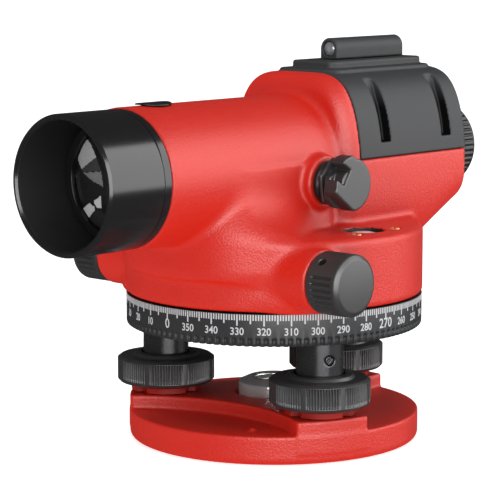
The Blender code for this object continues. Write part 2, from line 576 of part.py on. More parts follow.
# ---- telescope --------------------------------------------------------------------------------------------
def lens_profile(radius, low, high, bulge):
    """A lens with both faces bulging outward, edge from low to high."""
    return [(0, high + bulge), (radius * 0.5, high + bulge * 0.76), (radius * 0.8, high + bulge * 0.37),
            (radius, high), (radius, low), (radius * 0.8, low - bulge * 0.37), (radius * 0.5, low - bulge * 0.76),
            (0, low - bulge)]


def build_objective(axis):
    shade = turned("sunshade", [
        (SUNSHADE_INNER + 0.7 * MM, -SUNSHADE_FRONT), (SUNSHADE_RADIUS - 0.8 * MM, -SUNSHADE_FRONT),
        (SUNSHADE_RADIUS, -SUNSHADE_FRONT - 0.9 * MM), (SUNSHADE_RADIUS, -SUNSHADE_REAR),
        (SUNSHADE_INNER, -SUNSHADE_REAR), (SUNSHADE_INNER, -SUNSHADE_FRONT - 0.8 * MM)],
        36, BLACK_PAINT, closed=True)
    place(shade, axis, rotation=TO_FRONT)
    cell = turned("objective_cell", [
        (OBJECTIVE_BORE, -OBJECTIVE_FRONT), (21.6 * MM, -OBJECTIVE_FRONT), (21.6 * MM, -OBJECTIVE_FLANGE_FRONT),
        (SUNSHADE_RADIUS, -OBJECTIVE_FLANGE_FRONT), (SUNSHADE_RADIUS, -TUBE_FRONT + GAP),
        (21.6 * MM, -TUBE_FRONT + GAP), (21.6 * MM, 62 * MM), (OBJECTIVE_BORE - 2 * MM, 62 * MM),
        (OBJECTIVE_BORE - 2 * MM, 74 * MM), (OBJECTIVE_BORE, 74 * MM)], 28, BLACK_PAINT, closed=True)
    place(cell, axis, rotation=TO_FRONT)
    lens = turned("objective_lens", lens_profile(OBJECTIVE_BORE - GAP, 76.4 * MM, 82.2 * MM, 1.6 * MM), 28, GLASS)
    place(lens, axis, rotation=TO_FRONT)


def build_focusing(axis):
    guide = turned("focus_guide_tube", [
        (GUIDE_INNER, 40 * MM), (TUBE_BORE - GAP, 40 * MM), (TUBE_BORE - GAP, 37 * MM), (GUIDE_OUTER, 37 * MM),
        (GUIDE_OUTER, -22 * MM), (GUIDE_INNER, -22 * MM)], 32, ALUMINIUM, closed=True)
    place(guide, axis, rotation=TO_FRONT)
    slot = box("guide_slot_cut", (4 * MM, -36 * MM, SIGHT_AXIS - 9.6 * MM), (20 * MM, 30 * MM, SIGHT_AXIS + 3.2 * MM),
               as_cutter=True)
    combine(guide, slot, "DIFFERENCE")

    centre = -FOCUS_AXIS_Y
    cell = turned("focusing_cell", tube_profile(CELL_RADIUS, 11.6 * MM, centre - 5 * MM, centre + 5 * MM), 32,
                  ALUMINIUM, closed=True)
    place(cell, axis, rotation=TO_FRONT)
    pitch = pi * MODULE
    line = FOCUS_AXIS_Z + PINION_PITCH
    teeth = [(FOCUS_AXIS_Y - RACK_TEETH * pitch / 2, line + 0.55 * MM)]
    for i in range(RACK_TEETH):
        middle = FOCUS_AXIS_Y + (i - (RACK_TEETH - 1) / 2 + 0.5) * pitch
        teeth += [(middle - 0.40 * MM, line + 0.55 * MM), (middle - 0.18 * MM, line - 0.30 * MM),
                  (middle + 0.18 * MM, line - 0.30 * MM), (middle + 0.40 * MM, line + 0.55 * MM)]
    last = teeth[-1][0] + 0.4 * MM
    teeth += [(last, line + 0.55 * MM), (last, 103.6 * MM), (teeth[0][0], 103.6 * MM)]
    rack = loft("rack_form", [[(x, y, z) for y, z in teeth] for x in (13.2 * MM, 18.4 * MM)], as_cutter=True)
    combine(cell, rack, "UNION")
    lens = turned("focusing_lens", lens_profile(11.3 * MM, centre - 2 * MM, centre + 2 * MM, -0.8 * MM), 20, GLASS)
    place(lens, axis, rotation=TO_FRONT)

    knob_axis = add_empty("focus_axis", (0, FOCUS_AXIS_Y, FOCUS_AXIS_Z))
    outline = gear_outline(PINION_TEETH, PINION_PITCH + 0.30 * MM, PINION_PITCH - 0.60 * MM, 0.22, 0.48,
                           pi - pi / PINION_TEETH)
    shaft = prism("focus_shaft", outline, 14.0 * MM, 18.0 * MM, STEEL)
    place(shaft, knob_axis, rotation=TO_LEFT)
    stem = cylinder("shaft_stem", 2.0 * MM, 16 * MM, 40 * MM, segments=16)
    place(stem, knob_axis, rotation=TO_LEFT)
    combine(shaft, stem, "UNION")

    flange = turned("focus_flange", tube_profile(8.1 * MM, 2.3 * MM, 29.5 * MM, 31.7 * MM, 0.5 * MM), 24,
                    BLACK_PLASTIC, closed=True)
    place(flange, knob_axis, rotation=TO_LEFT)
    rim = [(FOCUS_KNOB_RADIUS * cos(radians(a)), FOCUS_KNOB_RADIUS * sin(radians(a))) for a in range(0, 360, 12)]
    knob = prism("focus_knob", rim, FOCUS_KNOB_BACK, FOCUS_KNOB_FACE, BLACK_PLASTIC)
    place(knob, knob_axis, rotation=TO_LEFT)
    bore = cylinder("knob_bore_cut", 2.3 * MM, 30 * MM, 40.4 * MM, segments=16)
    place(bore, knob_axis, rotation=TO_LEFT)
    combine(knob, bore, "DIFFERENCE")
    notch = box("knob_notch_cut", (5.2 * MM, -3.2 * MM, 31 * MM), (14 * MM, 3.2 * MM, 43 * MM), as_cutter=True)
    place(notch, knob_axis)
    notch.rotation_mode = "QUATERNION"
    turn = Matrix.Rotation(pi / 2, 4, "Y") @ Matrix.Rotation(radians(NOTCH_ANGLE), 4, "Z")
    notch.rotation_quaternion = turn.to_quaternion()
    combine(knob, notch, "DIFFERENCE")


def build_eyepiece(axis):
    reticle_ring = turned("reticle_ring", tube_profile(10.4 * MM, 6.2 * MM, 67.6 * MM, 70.6 * MM), 24, BLACK_PAINT,
                          closed=True)
    place(reticle_ring, axis, rotation=TO_REAR)
    reticle = turned("reticle_glass", rod_profile(5.9 * MM, 68.0 * MM, 70.0 * MM), 24, GLASS)
    place(reticle, axis, rotation=TO_REAR)
    barrel = turned("eyepiece_barrel", [
        (10.8 * MM, 94 * MM), (13.0 * MM, 94 * MM), (13.0 * MM, 81.8 * MM), (17.6 * MM, 81.4 * MM),
        (18.0 * MM, 80.8 * MM), (18.0 * MM, CHAMBER_REAR + GAP), (13.0 * MM, CHAMBER_REAR + GAP),
        (13.0 * MM, 67.0 * MM), (10.8 * MM, 67.0 * MM)], 20, BLACK_PAINT, closed=True)
    place(barrel, axis, rotation=TO_REAR)
    ring = turned("diopter_ring", [
        (8.0 * MM, EYEPIECE_REAR), (11.4 * MM, EYEPIECE_REAR), (12.4 * MM, 106.2 * MM), (13.2 * MM, 103.4 * MM),
        (EYEPIECE_RADIUS - 0.8 * MM, 101.6 * MM), (EYEPIECE_RADIUS, 100.6 * MM), (EYEPIECE_RADIUS, 84.0 * MM),
        (EYEPIECE_RADIUS - 1.2 * MM, 82.2 * MM), (13.3 * MM, 82.2 * MM), (13.3 * MM, 96.0 * MM),
        (10.9 * MM, 96.0 * MM), (10.9 * MM, 104.6 * MM), (8.0 * MM, 105.2 * MM)], 24, BLACK_PLASTIC, closed=True)
    place(ring, axis, rotation=TO_REAR)
    cell = turned("ocular_cell", [
        (8.2 * MM, 101.2 * MM), (10.5 * MM, 101.2 * MM), (10.5 * MM, 84 * MM), (7.4 * MM, 84 * MM),
        (7.4 * MM, 95 * MM), (8.2 * MM, 95 * MM)], 20, BLACK_PAINT, closed=True)
    place(cell, axis, rotation=TO_REAR)
    lens = turned("ocular_lens", lens_profile(7.9 * MM, 96.4 * MM, 99.4 * MM, 1.2 * MM), 20, GLASS)
    place(lens, axis, rotation=TO_REAR)


def build_compensator():
    """A prism hung on a thin ribbon from a portal; a magnet under it damps the swing."""
    middle = 46.0 * MM
    frame = box("compensator_frame", (-21 * MM, middle - 8 * MM, 82.4 * MM), (21 * MM, middle + 8 * MM, 118 * MM),
                ALUMINIUM)
    combine(frame, box("portal_cut", (-17.6 * MM, middle - 20 * MM, 86 * MM), (17.6 * MM, middle + 20 * MM, 114.6 * MM),
                       as_cutter=True), "DIFFERENCE")
    combine(frame, box("frame_foot", (-12 * MM, middle + 6 * MM, 82.4 * MM), (12 * MM, 68 * MM, 85.4 * MM),
                       as_cutter=True), "UNION")
    combine(frame, box("prism_stand", (-8 * MM, 57.5 * MM, 85 * MM), (8 * MM, 66.5 * MM, 92.6 * MM),
                       as_cutter=True), "UNION")

    swing = add_empty("pendulum_pivot", (0, middle, 114.4 * MM))
    pendulum = box("pendulum", (-12 * MM, -6 * MM, -25.4 * MM), (12 * MM, 6 * MM, -3.4 * MM), BRASS)
    place(pendulum, swing)
    window = box("pendulum_window_cut", (-8.6 * MM, -12 * MM, -20.8 * MM), (8.6 * MM, 12 * MM, -6 * MM),
                 as_cutter=True)
    place(window, swing)
    combine(pendulum, window, "DIFFERENCE")
    prism_outline = [(-5.6 * MM, -20.4 * MM), (5.6 * MM, -20.4 * MM), (1.2 * MM, -6.4 * MM), (-1.2 * MM, -6.4 * MM)]
    hung = loft("pendulum_prism", [[(x, y, z) for y, z in prism_outline] for x in (-8.2 * MM, 8.2 * MM)], GLASS)
    place(hung, swing)
    ribbon = box("suspension_ribbon", (-9 * MM, -0.2 * MM, -3.1 * MM), (9 * MM, 0.2 * MM, -0.1 * MM), STEEL)
    place(ribbon, swing)
    box("damping_magnet", (-6 * MM, middle - 4 * MM, 86.3 * MM), (6 * MM, middle + 4 * MM, 88.5 * MM), STEEL)
    roof = [(57.5 * MM, 92.9 * MM), (66.5 * MM, 92.9 * MM), (66.5 * MM, 111 * MM), (60.5 * MM, 111 * MM)]
    loft("fixed_prism", [[(x, y, z) for y, z in roof] for x in (-8 * MM, 8 * MM)], GLASS)


# ---- tangent drive ----------------------------------------------------------------------------------------
def build_tangent():
    axis = add_empty("tangent_axis", (0, TANGENT_Y, TANGENT_Z))
    around, per_turn = 12, 4
    count = round(2 * WORM_HALF_LENGTH / WORM_LEAD * per_turn)
    sections = []
    for radius, x in ((3.6 * MM, -62 * MM), (3.6 * MM, -11 * MM)):
        sections.append([(radius * cos(2 * pi * i / around), radius * sin(2 * pi * i / around), x)
                         for i in range(around)])
    for k in range(count + 1):
        x = -WORM_HALF_LENGTH + k * WORM_LEAD / per_turn
        ring = []
        for i in range(around):
            angle = 2 * pi * i / around
            wave = 0.5 + 0.5 * cos(2 * pi * x / WORM_LEAD - (angle - pi / 2))
            radius = WORM_ROOT + (WORM_TIP - WORM_ROOT) * max(0.0, wave)
            ring.append((radius * cos(angle), radius * sin(angle), x))
        sections.append(ring)
    for radius, x in ((3.6 * MM, 11 * MM), (3.6 * MM, 62 * MM)):
        sections.append([(radius * cos(2 * pi * i / around), radius * sin(2 * pi * i / around), x)
                         for i in range(around)])
    worm = loft("worm_shaft", sections, STEEL)
    place(worm, axis, rotation=TO_LEFT)

    for side, facing in (("left", TO_LEFT), ("right", TO_RIGHT)):
        knob = turned(f"drive_knob_{side}", [
            (0, TANGENT_FACE), (9.6 * MM, TANGENT_FACE - 0.5 * MM), (10.5 * MM, TANGENT_FACE - 1.3 * MM),
            (TANGENT_RADIUS, TANGENT_BACK + 1.0 * MM), (TANGENT_RADIUS - MM, TANGENT_BACK),
            (3.9 * MM, TANGENT_BACK), (3.9 * MM, 62.3 * MM), (0, 62.3 * MM)], 24, BLACK_PLASTIC)
        place(knob, axis, rotation=facing)
        hole = cylinder(f"drive_hole_cut_{side}", 1.5 * MM, 3.0 * MM, 14 * MM, segments=12)
        grub = turned(f"drive_screw_{side}", rod_profile(1.2 * MM, 4.4 * MM, 8.2 * MM), 12, STEEL)
        reach = 56.2 * MM if side == "left" else -56.2 * MM
        for piece in (hole, grub):
            place(piece, axis, (reach, 0, 0), (DRIVE_SCREW_TILT, 0, 0))
        combine(knob, hole, "DIFFERENCE")


def build_badge():
    """A blank oval plate on the crown of the telescope tube."""
    steps = 9
    top, bottom = TUBE_RADIUS + BADGE_THICKNESS, TUBE_RADIUS + GAP
    sections = []
    for k in range(steps):
        along = 1.98 * k / (steps - 1) - 0.99
        y = BADGE_CENTRE + BADGE_HALF_LENGTH * along
        half_angle = BADGE_HALF_ANGLE * (1 - along * along) ** 0.5
        ring = []
        for radius, sign in ((top, 1), (bottom, -1)):
            for i in range(7):
                angle = half_angle * sign * (i / 3 - 1)
                ring.append((radius * sin(angle), y, SIGHT_AXIS + radius * cos(angle)))
        sections.append(ring)
    loft("badge_plate", sections, BLACK_PLASTIC)


def main():
    build_base()
    for number in (1, 2, 3):
        build_foot_screw(number)
    build_tribrach()
    build_body()
    build_bubble()
    build_cover()
    build_sight()
    sight_line = add_empty("sight_line", (0, 0, SIGHT_AXIS))
    build_objective(sight_line)
    build_focusing(sight_line)
    build_eyepiece(sight_line)
    build_compensator()
    build_tangent()
    build_badge()


main()
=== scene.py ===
"""Looks of the automatic level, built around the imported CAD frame. Lengths in the fields are millimetres."""

import math

import bpy
import numpy as np
from mathutils import Matrix, Vector


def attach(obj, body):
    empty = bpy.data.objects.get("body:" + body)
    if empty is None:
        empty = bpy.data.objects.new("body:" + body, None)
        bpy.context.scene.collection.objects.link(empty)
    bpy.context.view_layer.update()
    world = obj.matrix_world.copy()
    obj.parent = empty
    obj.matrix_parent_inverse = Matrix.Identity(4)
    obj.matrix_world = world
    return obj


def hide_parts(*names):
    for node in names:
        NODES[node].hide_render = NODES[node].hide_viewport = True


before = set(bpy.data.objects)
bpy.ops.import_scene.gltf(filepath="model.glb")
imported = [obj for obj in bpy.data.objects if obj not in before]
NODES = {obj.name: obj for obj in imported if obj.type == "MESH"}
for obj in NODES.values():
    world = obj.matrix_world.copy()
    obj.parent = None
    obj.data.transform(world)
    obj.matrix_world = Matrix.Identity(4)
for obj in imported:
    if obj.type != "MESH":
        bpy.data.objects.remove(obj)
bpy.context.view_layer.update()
MM = 0.001

# ---- shared measures, in millimetres ---------------------------------------------------------------------
SIGHT_Z = 102.2                    # height of the telescope's axis
TUBE_RADIUS = 24.85
TUBE_BORE = 21.9
BODY_END = 78.3                    # the casting's front and rear faces, each way from the vertical axis
EYEPIECE_BORE = 13.3
CHAMBER_Z = 98.0                   # widest level of the prism chamber
CHAMBER_HALF = 30.0                # its half width
CHAMBER_CROWN = 37.0               # from the widest level up to the crown
DRUM_RADIUS = 55.2
DRUM_BOTTOM = 54.9
DRIVE_Y, DRIVE_Z = -31.0, 66.4     # axis of the tangent screw
FOCUS_Y, FOCUS_Z = -4.0, 97.2      # axis of the focus knob
SIGHT_CROWN = 142.7                # centre of the sight's arched top
BUBBLE = (39.2, 4.6)               # centre of the round bubble
BUBBLE_WELL = 7.6                  # radius of its opening
BUBBLE_SCREW_RING = 12.3
CIRCLE_RADIUS = 55.0
BASE_RADIUS = 53.9
FOOT_ANGLES = (65.6, 185.6, 305.6)     # degrees round from -Y
FOOT_PITCH = 40.9
SET_SCREW_Z = 36.1                 # height of the set screws in the foot sleeves


# ---- fields: negative inside, in millimetres ----------------------------------------------------------
def round_max(a, b, r):
    """Intersection of two fields with an edge rounded to radius r."""
    return np.minimum(np.maximum(a, b) + r, 0) + np.hypot(np.maximum(a + r, 0), np.maximum(b + r, 0)) - r


def round_min(a, b, r):
    """Union of two fields with the inside corner rounded to radius r."""
    return -round_max(-a, -b, r)


def soft_min(a, b, k):
    """Union of two fields with a soft fillet about k wide."""
    h = np.clip(0.5 + 0.5 * (b - a) / k, 0, 1)
    return b + (a - b) * h - k * h * (1 - h)


def carve(form, tool, r=0.0):
    """Takes one field out of another, the new edge rounded to radius r."""
    return round_max(form, -tool, r)


def rod(a, b, radius, along_axis, low, high):
    """A round bar of the given radius, from low to high along its axis."""
    return np.maximum(np.hypot(a, b) - radius, np.maximum(low - along_axis, along_axis - high))


def smooth_step(x, low, high):
    """Rises smoothly from 0 at low to 1 at high."""
    t = np.clip((x - low) / (high - low), 0, 1)
    return t * t * (3 - 2 * t)


def isosurface(field, low, high, step, passes=4):
    """Surface of a field as a quad mesh: one vertex in each grid cell it crosses, moved onto the surface."""
    axes = [np.arange(a, b + step, step) for a, b in zip(low, high)]
    values = field(*np.meshgrid(*axes, indexing="ij"))
    inside = values < 0
    cells = tuple(n - 1 for n in values.shape)
    corners = [(i, j, k) for i in (0, 1) for j in (0, 1) for k in (0, 1)]
    total = np.zeros(cells, np.int8)
    for i, j, k in corners:
        total += inside[i:i + cells[0], j:j + cells[1], k:k + cells[2]]
    where = np.argwhere((total > 0) & (total < 8))
    index = np.full(cells, -1, np.int64)
    index[tuple(where.T)] = np.arange(len(where))

    at = {c: values[tuple((where + c).T)] for c in corners}
    place = np.zeros((len(where), 3))
    count = np.zeros(len(where))
    for a in corners:
        for axis in range(3):
            if a[axis]:
                continue
            b = tuple(v + (n == axis) for n, v in enumerate(a))
            crosses = (at[a] < 0) != (at[b] < 0)
            gap = np.where(crosses, at[a] - at[b], 1.0)
            point = np.array(a, float) + np.outer(at[a] / gap, np.eye(3)[axis])
            place += point * crosses[:, None]
            count += crosses
    verts = np.array(low) + (where + place / count[:, None]) * step

    faces = []
    for a in range(3):
        b, c = (a + 1) % 3, (a + 2) % 3
        one, two = [slice(None)] * 3, [slice(None)] * 3
        one[a], two[a] = slice(0, -1), slice(1, None)
        for other in (b, c):
            one[other] = two[other] = slice(1, -1)
        first, second = inside[tuple(one)], inside[tuple(two)]
        points = np.argwhere(first != second)
        grows = first[tuple(points.T)]
        points[:, [b, c]] += 1
        eb, ec = np.eye(3, dtype=int)[b], np.eye(3, dtype=int)[c]
        ring = [index[tuple(p.T)] for p in (points - eb - ec, points - ec, points, points - eb)]
        quad = np.stack(ring, 1)
        quad[~grows] = quad[~grows][:, ::-1]
        faces.append(quad)

    h = 0.02
    for _ in range(passes):
        x, y, z = verts.T
        slope = np.stack([field(x + h, y, z) - field(x - h, y, z), field(x, y + h, z) - field(x, y - h, z),
                          field(x, y, z + h) - field(x, y, z - h)], 1) / (2 * h)
        length = np.maximum((slope ** 2).sum(1), 0.05)
        move = slope * (field(x, y, z) / length)[:, None]
        reach = np.linalg.norm(move, axis=1)
        move *= np.minimum(1, 0.45 * step / np.maximum(reach, 1e-9))[:, None]
        verts = verts - move
    return verts, np.concatenate(faces)


# ---- mesh helpers -------------------------------------------------------------------------------------
def add_piece(name, verts, faces, material, body, replaced=(), flat_angle=None, place=None):
    """A finished piece from vertices in millimetres, riding on a body and standing for CAD nodes."""
    mesh = bpy.data.meshes.new(name)
    mesh.from_pydata(np.asarray(verts, float) * MM, [], faces)
    mesh.update()
    if place is not None:
        mesh.transform(place)
    mesh.materials.append(material)
    mesh.shade_smooth()
    if flat_angle:
        mesh.set_sharp_from_angle(angle=math.radians(flat_angle))
    obj = bpy.data.objects.new(name, mesh)
    bpy.context.scene.collection.objects.link(obj)
    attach(obj, body)
    if replaced:
        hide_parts(*replaced)
    return obj


def add_form(name, field, low, high, step, material, body, replaced=()):
    """A piece from a field, meshed inside a box with the given grid step."""
    verts, faces = isosurface(field, low, high, step)
    return add_piece(name, verts, faces, material, body, replaced)


def fillet(points, closed, steps=4):
    """Rounds a polyline of (r, h, radius) points; the result is (r, h) points."""
    out = []
    n = len(points)
    for i, (r, h, radius) in enumerate(points):
        here = np.array((r, h), float)
        if radius <= 0 or (not closed and i in (0, n - 1)):
            out.append(here)
            continue
        before = np.array(points[i - 1][:2], float) - here
        after = np.array(points[(i + 1) % n][:2], float) - here
        la, lb = np.linalg.norm(before), np.linalg.norm(after)
        before, after = before / la, after / lb
        angle = math.acos(float(np.clip(before @ after, -1, 1)))
        reach = min(radius / math.tan(angle / 2), 0.48 * la, 0.48 * lb)
        start, end = here + before * reach, here + after * reach
        for k in range(steps + 1):
            t = k / steps
            out.append((1 - t) ** 2 * start + 2 * t * (1 - t) * here + t * t * end)
    return out


def lathe(name, points, segments, material, body, replaced=(), place=None, closed=True, wave=None):
    """A turned piece about local Z, from a filleted profile. wave(angle, r, h) adds to the radius."""
    profile = fillet(points, closed)
    r = np.array([p[0] for p in profile])
    h = np.array([p[1] for p in profile])
    phi = np.arange(segments) * 2 * math.pi / segments
    radius = np.repeat(r[None, :], segments, 0)
    if wave:
        radius = radius + wave(phi[:, None], r[None, :], h[None, :])
    n = len(profile)
    verts = np.stack([radius * np.cos(phi)[:, None], radius * np.sin(phi)[:, None],
                      np.repeat(h[None, :], segments, 0)], -1).reshape(-1, 3)
    i = np.arange(segments)[:, None]
    j = np.arange(n if closed else n - 1)[None, :]
    ni, nj = (i + 1) % segments, (j + 1) % n
    faces = np.stack([i * n + j, i * n + nj, ni * n + nj, ni * n + j], -1).reshape(-1, 4).tolist()
    if not closed:
        top, low = len(verts), len(verts) + 1
        verts = np.concatenate([verts, [(0, 0, h[0]), (0, 0, h[-1])]])
        keep = []
        for s in range(segments):
            t = (s + 1) % segments
            keep.append((top, s * n, t * n))
            keep.append((low, t * n + n - 1, s * n + n - 1))
        faces = faces + keep
    obj = add_piece(name, verts, faces, material, body, replaced, None, place)
    if volume_sign(obj.data) < 0:
        obj.data.flip_normals()
    weigh = obj.modifiers.new("normals", "WEIGHTED_NORMAL")
    weigh.keep_sharp = True
    weigh.weight = 60
    return obj


def volume_sign(mesh):
    """Six times the signed volume: negative if the faces point inwards."""
    mesh.calc_loop_triangles()
    co = np.array([v.co for v in mesh.vertices])
    tri = np.array([t.vertices for t in mesh.loop_triangles])
    a, b, c = co[tri[:, 0]], co[tri[:, 1]], co[tri[:, 2]]
    return float((a * np.cross(b, c)).sum())


def along(axis, x=0.0, y=0.0, z=0.0):
    """Places local +Z along +X, -X, +Y, -Y or +Z through a point in millimetres."""
    turn = {"+X": Matrix.Rotation(math.pi / 2, 4, "Y"), "-X": Matrix.Rotation(-math.pi / 2, 4, "Y"),
            "+Y": Matrix.Rotation(-math.pi / 2, 4, "X"), "-Y": Matrix.Rotation(math.pi / 2, 4, "X"),
            "+Z": Matrix.Identity(4)}[axis]
    return Matrix.Translation(Vector((x, y, z)) * MM) @ turn


# ---- materials ----------------------------------------------------------------------------------------
def surface(name, colour, rough, metal=0.0, grain=900.0, bump=0.0, depth=0.00004, vary=0.06,
            rough_vary=0.06, coat=0.0, specular=0.5, cloud=60.0, detail=2.0, stretch=(1, 1, 1)):
    """A procedural finish: fine grain in the relief and roughness, and a slow drift of colour."""
    mat = bpy.data.materials.new(name)
    mat.use_nodes = True
    tree = mat.node_tree
    nodes, links = tree.nodes, tree.links
    shader = nodes["Principled BSDF"]
    shader.inputs["Metallic"].default_value = metal
    shader.inputs["Specular IOR Level"].default_value = specular
    shader.inputs["Coat Weight"].default_value = coat
    shader.inputs["Coat Roughness"].default_value = 0.12
    coord = nodes.new("ShaderNodeTexCoord")
    mapping = nodes.new("ShaderNodeMapping")
    mapping.inputs["Scale"].default_value = stretch
    links.new(coord.outputs["Object"], mapping.inputs["Vector"])

    def noise(scale, octaves):
        node = nodes.new("ShaderNodeTexNoise")
        node.inputs["Scale"].default_value = scale
        node.inputs["Detail"].default_value = octaves
        links.new(mapping.outputs["Vector"], node.inputs["Vector"])
        return node.outputs["Fac"]

    slow, fine = noise(cloud, 3.0), noise(grain, detail)
    mix = nodes.new("ShaderNodeMix")
    mix.data_type = "RGBA"
    dark = [max(0.0, c * (1 - vary)) for c in colour]
    light = [min(1.0, c * (1 + vary) + 0.004) for c in colour]
    mix.inputs["A"].default_value = (*dark, 1)
    mix.inputs["B"].default_value = (*light, 1)
    blend = nodes.new("ShaderNodeMath")
    blend.operation = "ADD"
    half = nodes.new("ShaderNodeMath")
    half.operation = "MULTIPLY"
    half.inputs[1].default_value = 0.5
    links.new(slow, blend.inputs[0])
    links.new(fine, blend.inputs[1])
    links.new(blend.outputs[0], half.inputs[0])
    links.new(half.outputs[0], mix.inputs["Factor"])
    links.new(mix.outputs["Result"], shader.inputs["Base Color"])
    spread = nodes.new("ShaderNodeMapRange")
    spread.inputs["From Min"].default_value = 0.3
    spread.inputs["From Max"].default_value = 0.7
    spread.inputs["To Min"].default_value = max(0.02, rough - rough_vary)
    spread.inputs["To Max"].default_value = min(1.0, rough + rough_vary)
    links.new(fine, spread.inputs["Value"])
    links.new(spread.outputs["Result"], shader.inputs["Roughness"])
    if bump:
        relief = nodes.new("ShaderNodeBump")
        relief.inputs["Strength"].default_value = bump
        relief.inputs["Distance"].default_value = depth
        links.new(fine, relief.inputs["Height"])
        links.new(relief.outputs["Normal"], shader.inputs["Normal"])
    return mat


RED = surface("red_powder_coat", (0.62, 0.012, 0.002), 0.44, grain=1450, bump=0.9, depth=0.00016, vary=0.05,
              rough_vary=0.05, specular=0.24, detail=1.0)
# a darker copy of the red for the foot seats: painted shade from the foot knobs over them
SEAT_PAINTED_SHADE = surface("red_powder_coat_painted_shade", (0.34, 0.008, 0.002), 0.5, grain=1450, bump=0.6, depth=0.0001,
               vary=0.08, specular=0.1)
COVER = surface("cover_plastic", (0.044, 0.045, 0.047), 0.50, grain=2600, bump=0.35, depth=0.00002,
                vary=0.08, specular=0.10)
KNOB = surface("knob_plastic", (0.030, 0.030, 0.031), 0.40, grain=2600, bump=0.3, depth=0.00002, vary=0.10,
               specular=0.36)
SATIN = surface("black_anodised", (0.016, 0.016, 0.017), 0.30, 0.0, grain=3000, bump=0.12, depth=0.00001,
                vary=0.10, specular=0.15)
HOOD = surface("hood_anodised", (0.011, 0.011, 0.012), 0.19, 0.0, grain=3000, bump=0.08, depth=0.00001,
               vary=0.10, rough_vary=0.03, specular=0.26)
INNER = surface("inner_black", (0.006, 0.006, 0.006), 0.7, grain=2000, vary=0.2, specular=0.2)
DIAL = surface("dial_black", (0.030, 0.031, 0.033), 0.38, 0.0, grain=2600, bump=0.15, depth=0.00001,
               vary=0.10, specular=0.2)
MARKS = surface("dial_marks", (0.52, 0.53, 0.54), 0.5, grain=4000, vary=0.06)
GUNMETAL = surface("gunmetal", (0.034, 0.034, 0.036), 0.26, 0.35, grain=1500, bump=0.1, depth=0.00001,
                   vary=0.2, specular=0.2, stretch=(1, 1, 6))
NICKEL = surface("nickel", (0.60, 0.60, 0.60), 0.20, 0.5, grain=1800, bump=0.15, depth=0.00001, vary=0.12,
                 stretch=(1, 1, 8))
STEEL = surface("steel", (0.42, 0.42, 0.43), 0.32, 0.6, grain=2000, bump=0.15, depth=0.00001, vary=0.10)
BRASS = surface("brass", (0.72, 0.47, 0.19), 0.32, 0.6, grain=1800, bump=0.15, depth=0.00001, vary=0.12)
ALUMINIUM = surface("aluminium", (0.55, 0.56, 0.57), 0.38, 0.6, grain=2000, bump=0.15, depth=0.00001,
                    vary=0.08)
SPIRIT = surface("vial_spirit", (0.72, 0.78, 0.86), 0.08, 0.0, grain=300, vary=0.03, coat=0.6)
EYE_GLASS = surface("eye_glass", (0.02, 0.03, 0.05), 0.05, 0.0, grain=120, vary=0.5, coat=1.0, specular=0.8)
PRISM_GLASS = surface("prism_glass", (0.55, 0.62, 0.66), 0.06, 0.0, grain=200, vary=0.05, coat=0.5)
WINDOW = surface("sight_window", (0.30, 0.31, 0.33), 0.12, 0.0, grain=420, vary=0.85, coat=0.8, detail=1.0)
GROOVE = surface("groove_shadow", (0.052, 0.053, 0.055), 0.55, grain=2600, vary=0.08, specular=0.1)
LENS_DARK = surface("lens_dark", (0.010, 0.010, 0.011), 0.05, 0.0, grain=160, vary=0.9, coat=1.0,
                    specular=0.6)
# painted reflections on the objective's front: the grey of each reflected patch
PAINTED_REFLECTION_GREYS = ((0.50, 1500), (0.06, 300), (0.24, 1500), (1.0, 500), (0.03, 900))   # brightness, grain
PAINTED_REFLECTION_FINISHES = [surface(f"lens_painted_reflection_{i}", (g, g, g), 0.10, 0.0, grain=grain, vary=0.4, coat=0.6, detail=3.0)
              for i, (g, grain) in enumerate(PAINTED_REFLECTION_GREYS)]


def fade_down(mat, low, high):
    """Darken a finish steadily from one height (metres) down to another."""
    nodes, links = mat.node_tree.nodes, mat.node_tree.links
    shader = nodes["Principled BSDF"]
    colour = shader.inputs["Base Color"].links[0].from_socket
    split = nodes.new("ShaderNodeSeparateXYZ")
    ramp = nodes.new("ShaderNodeMapRange")
    ramp.inputs["From Min"].default_value = low
    ramp.inputs["From Max"].default_value = high
    shade = nodes.new("ShaderNodeMix")
    shade.data_type = "RGBA"
    shade.inputs["A"].default_value = (0.002, 0.002, 0.002, 1)
    links.new(nodes["Texture Coordinate"].outputs["Object"], split.inputs["Vector"])
    links.new(split.outputs["Z"], ramp.inputs["Value"])
    links.new(ramp.outputs["Result"], shade.inputs["Factor"])
    links.new(colour, shade.inputs["B"])
    links.new(shade.outputs["Result"], shader.inputs["Base Color"])


fade_down(GROOVE, 0.1215, 0.1305)

# ---- carried-over CAD nodes ---------------------------------------------------------------------------
CARRIED = {
    STEEL: ("foot_spindle_1", "foot_spindle_2", "foot_spindle_3", "standing_spindle", "spindle_nut",
            "worm_shaft", "focus_shaft", "suspension_ribbon", "damping_magnet"),
    SATIN: ("drive_screw_left", "drive_screw_right"),
    BRASS: ("axis_bush", "worm_wheel", "pendulum"),
    ALUMINIUM: ("bubble_cup", "compensator_frame"),
    INNER: ("focus_guide_tube", "focusing_cell", "reticle_ring"),
    PRISM_GLASS: ("focusing_lens", "reticle_glass", "pendulum_prism", "fixed_prism"),
}
for finish, names in CARRIED.items():
    for node_name in names:
        data = NODES[node_name].data
        data.materials.clear()
        data.materials.append(finish)

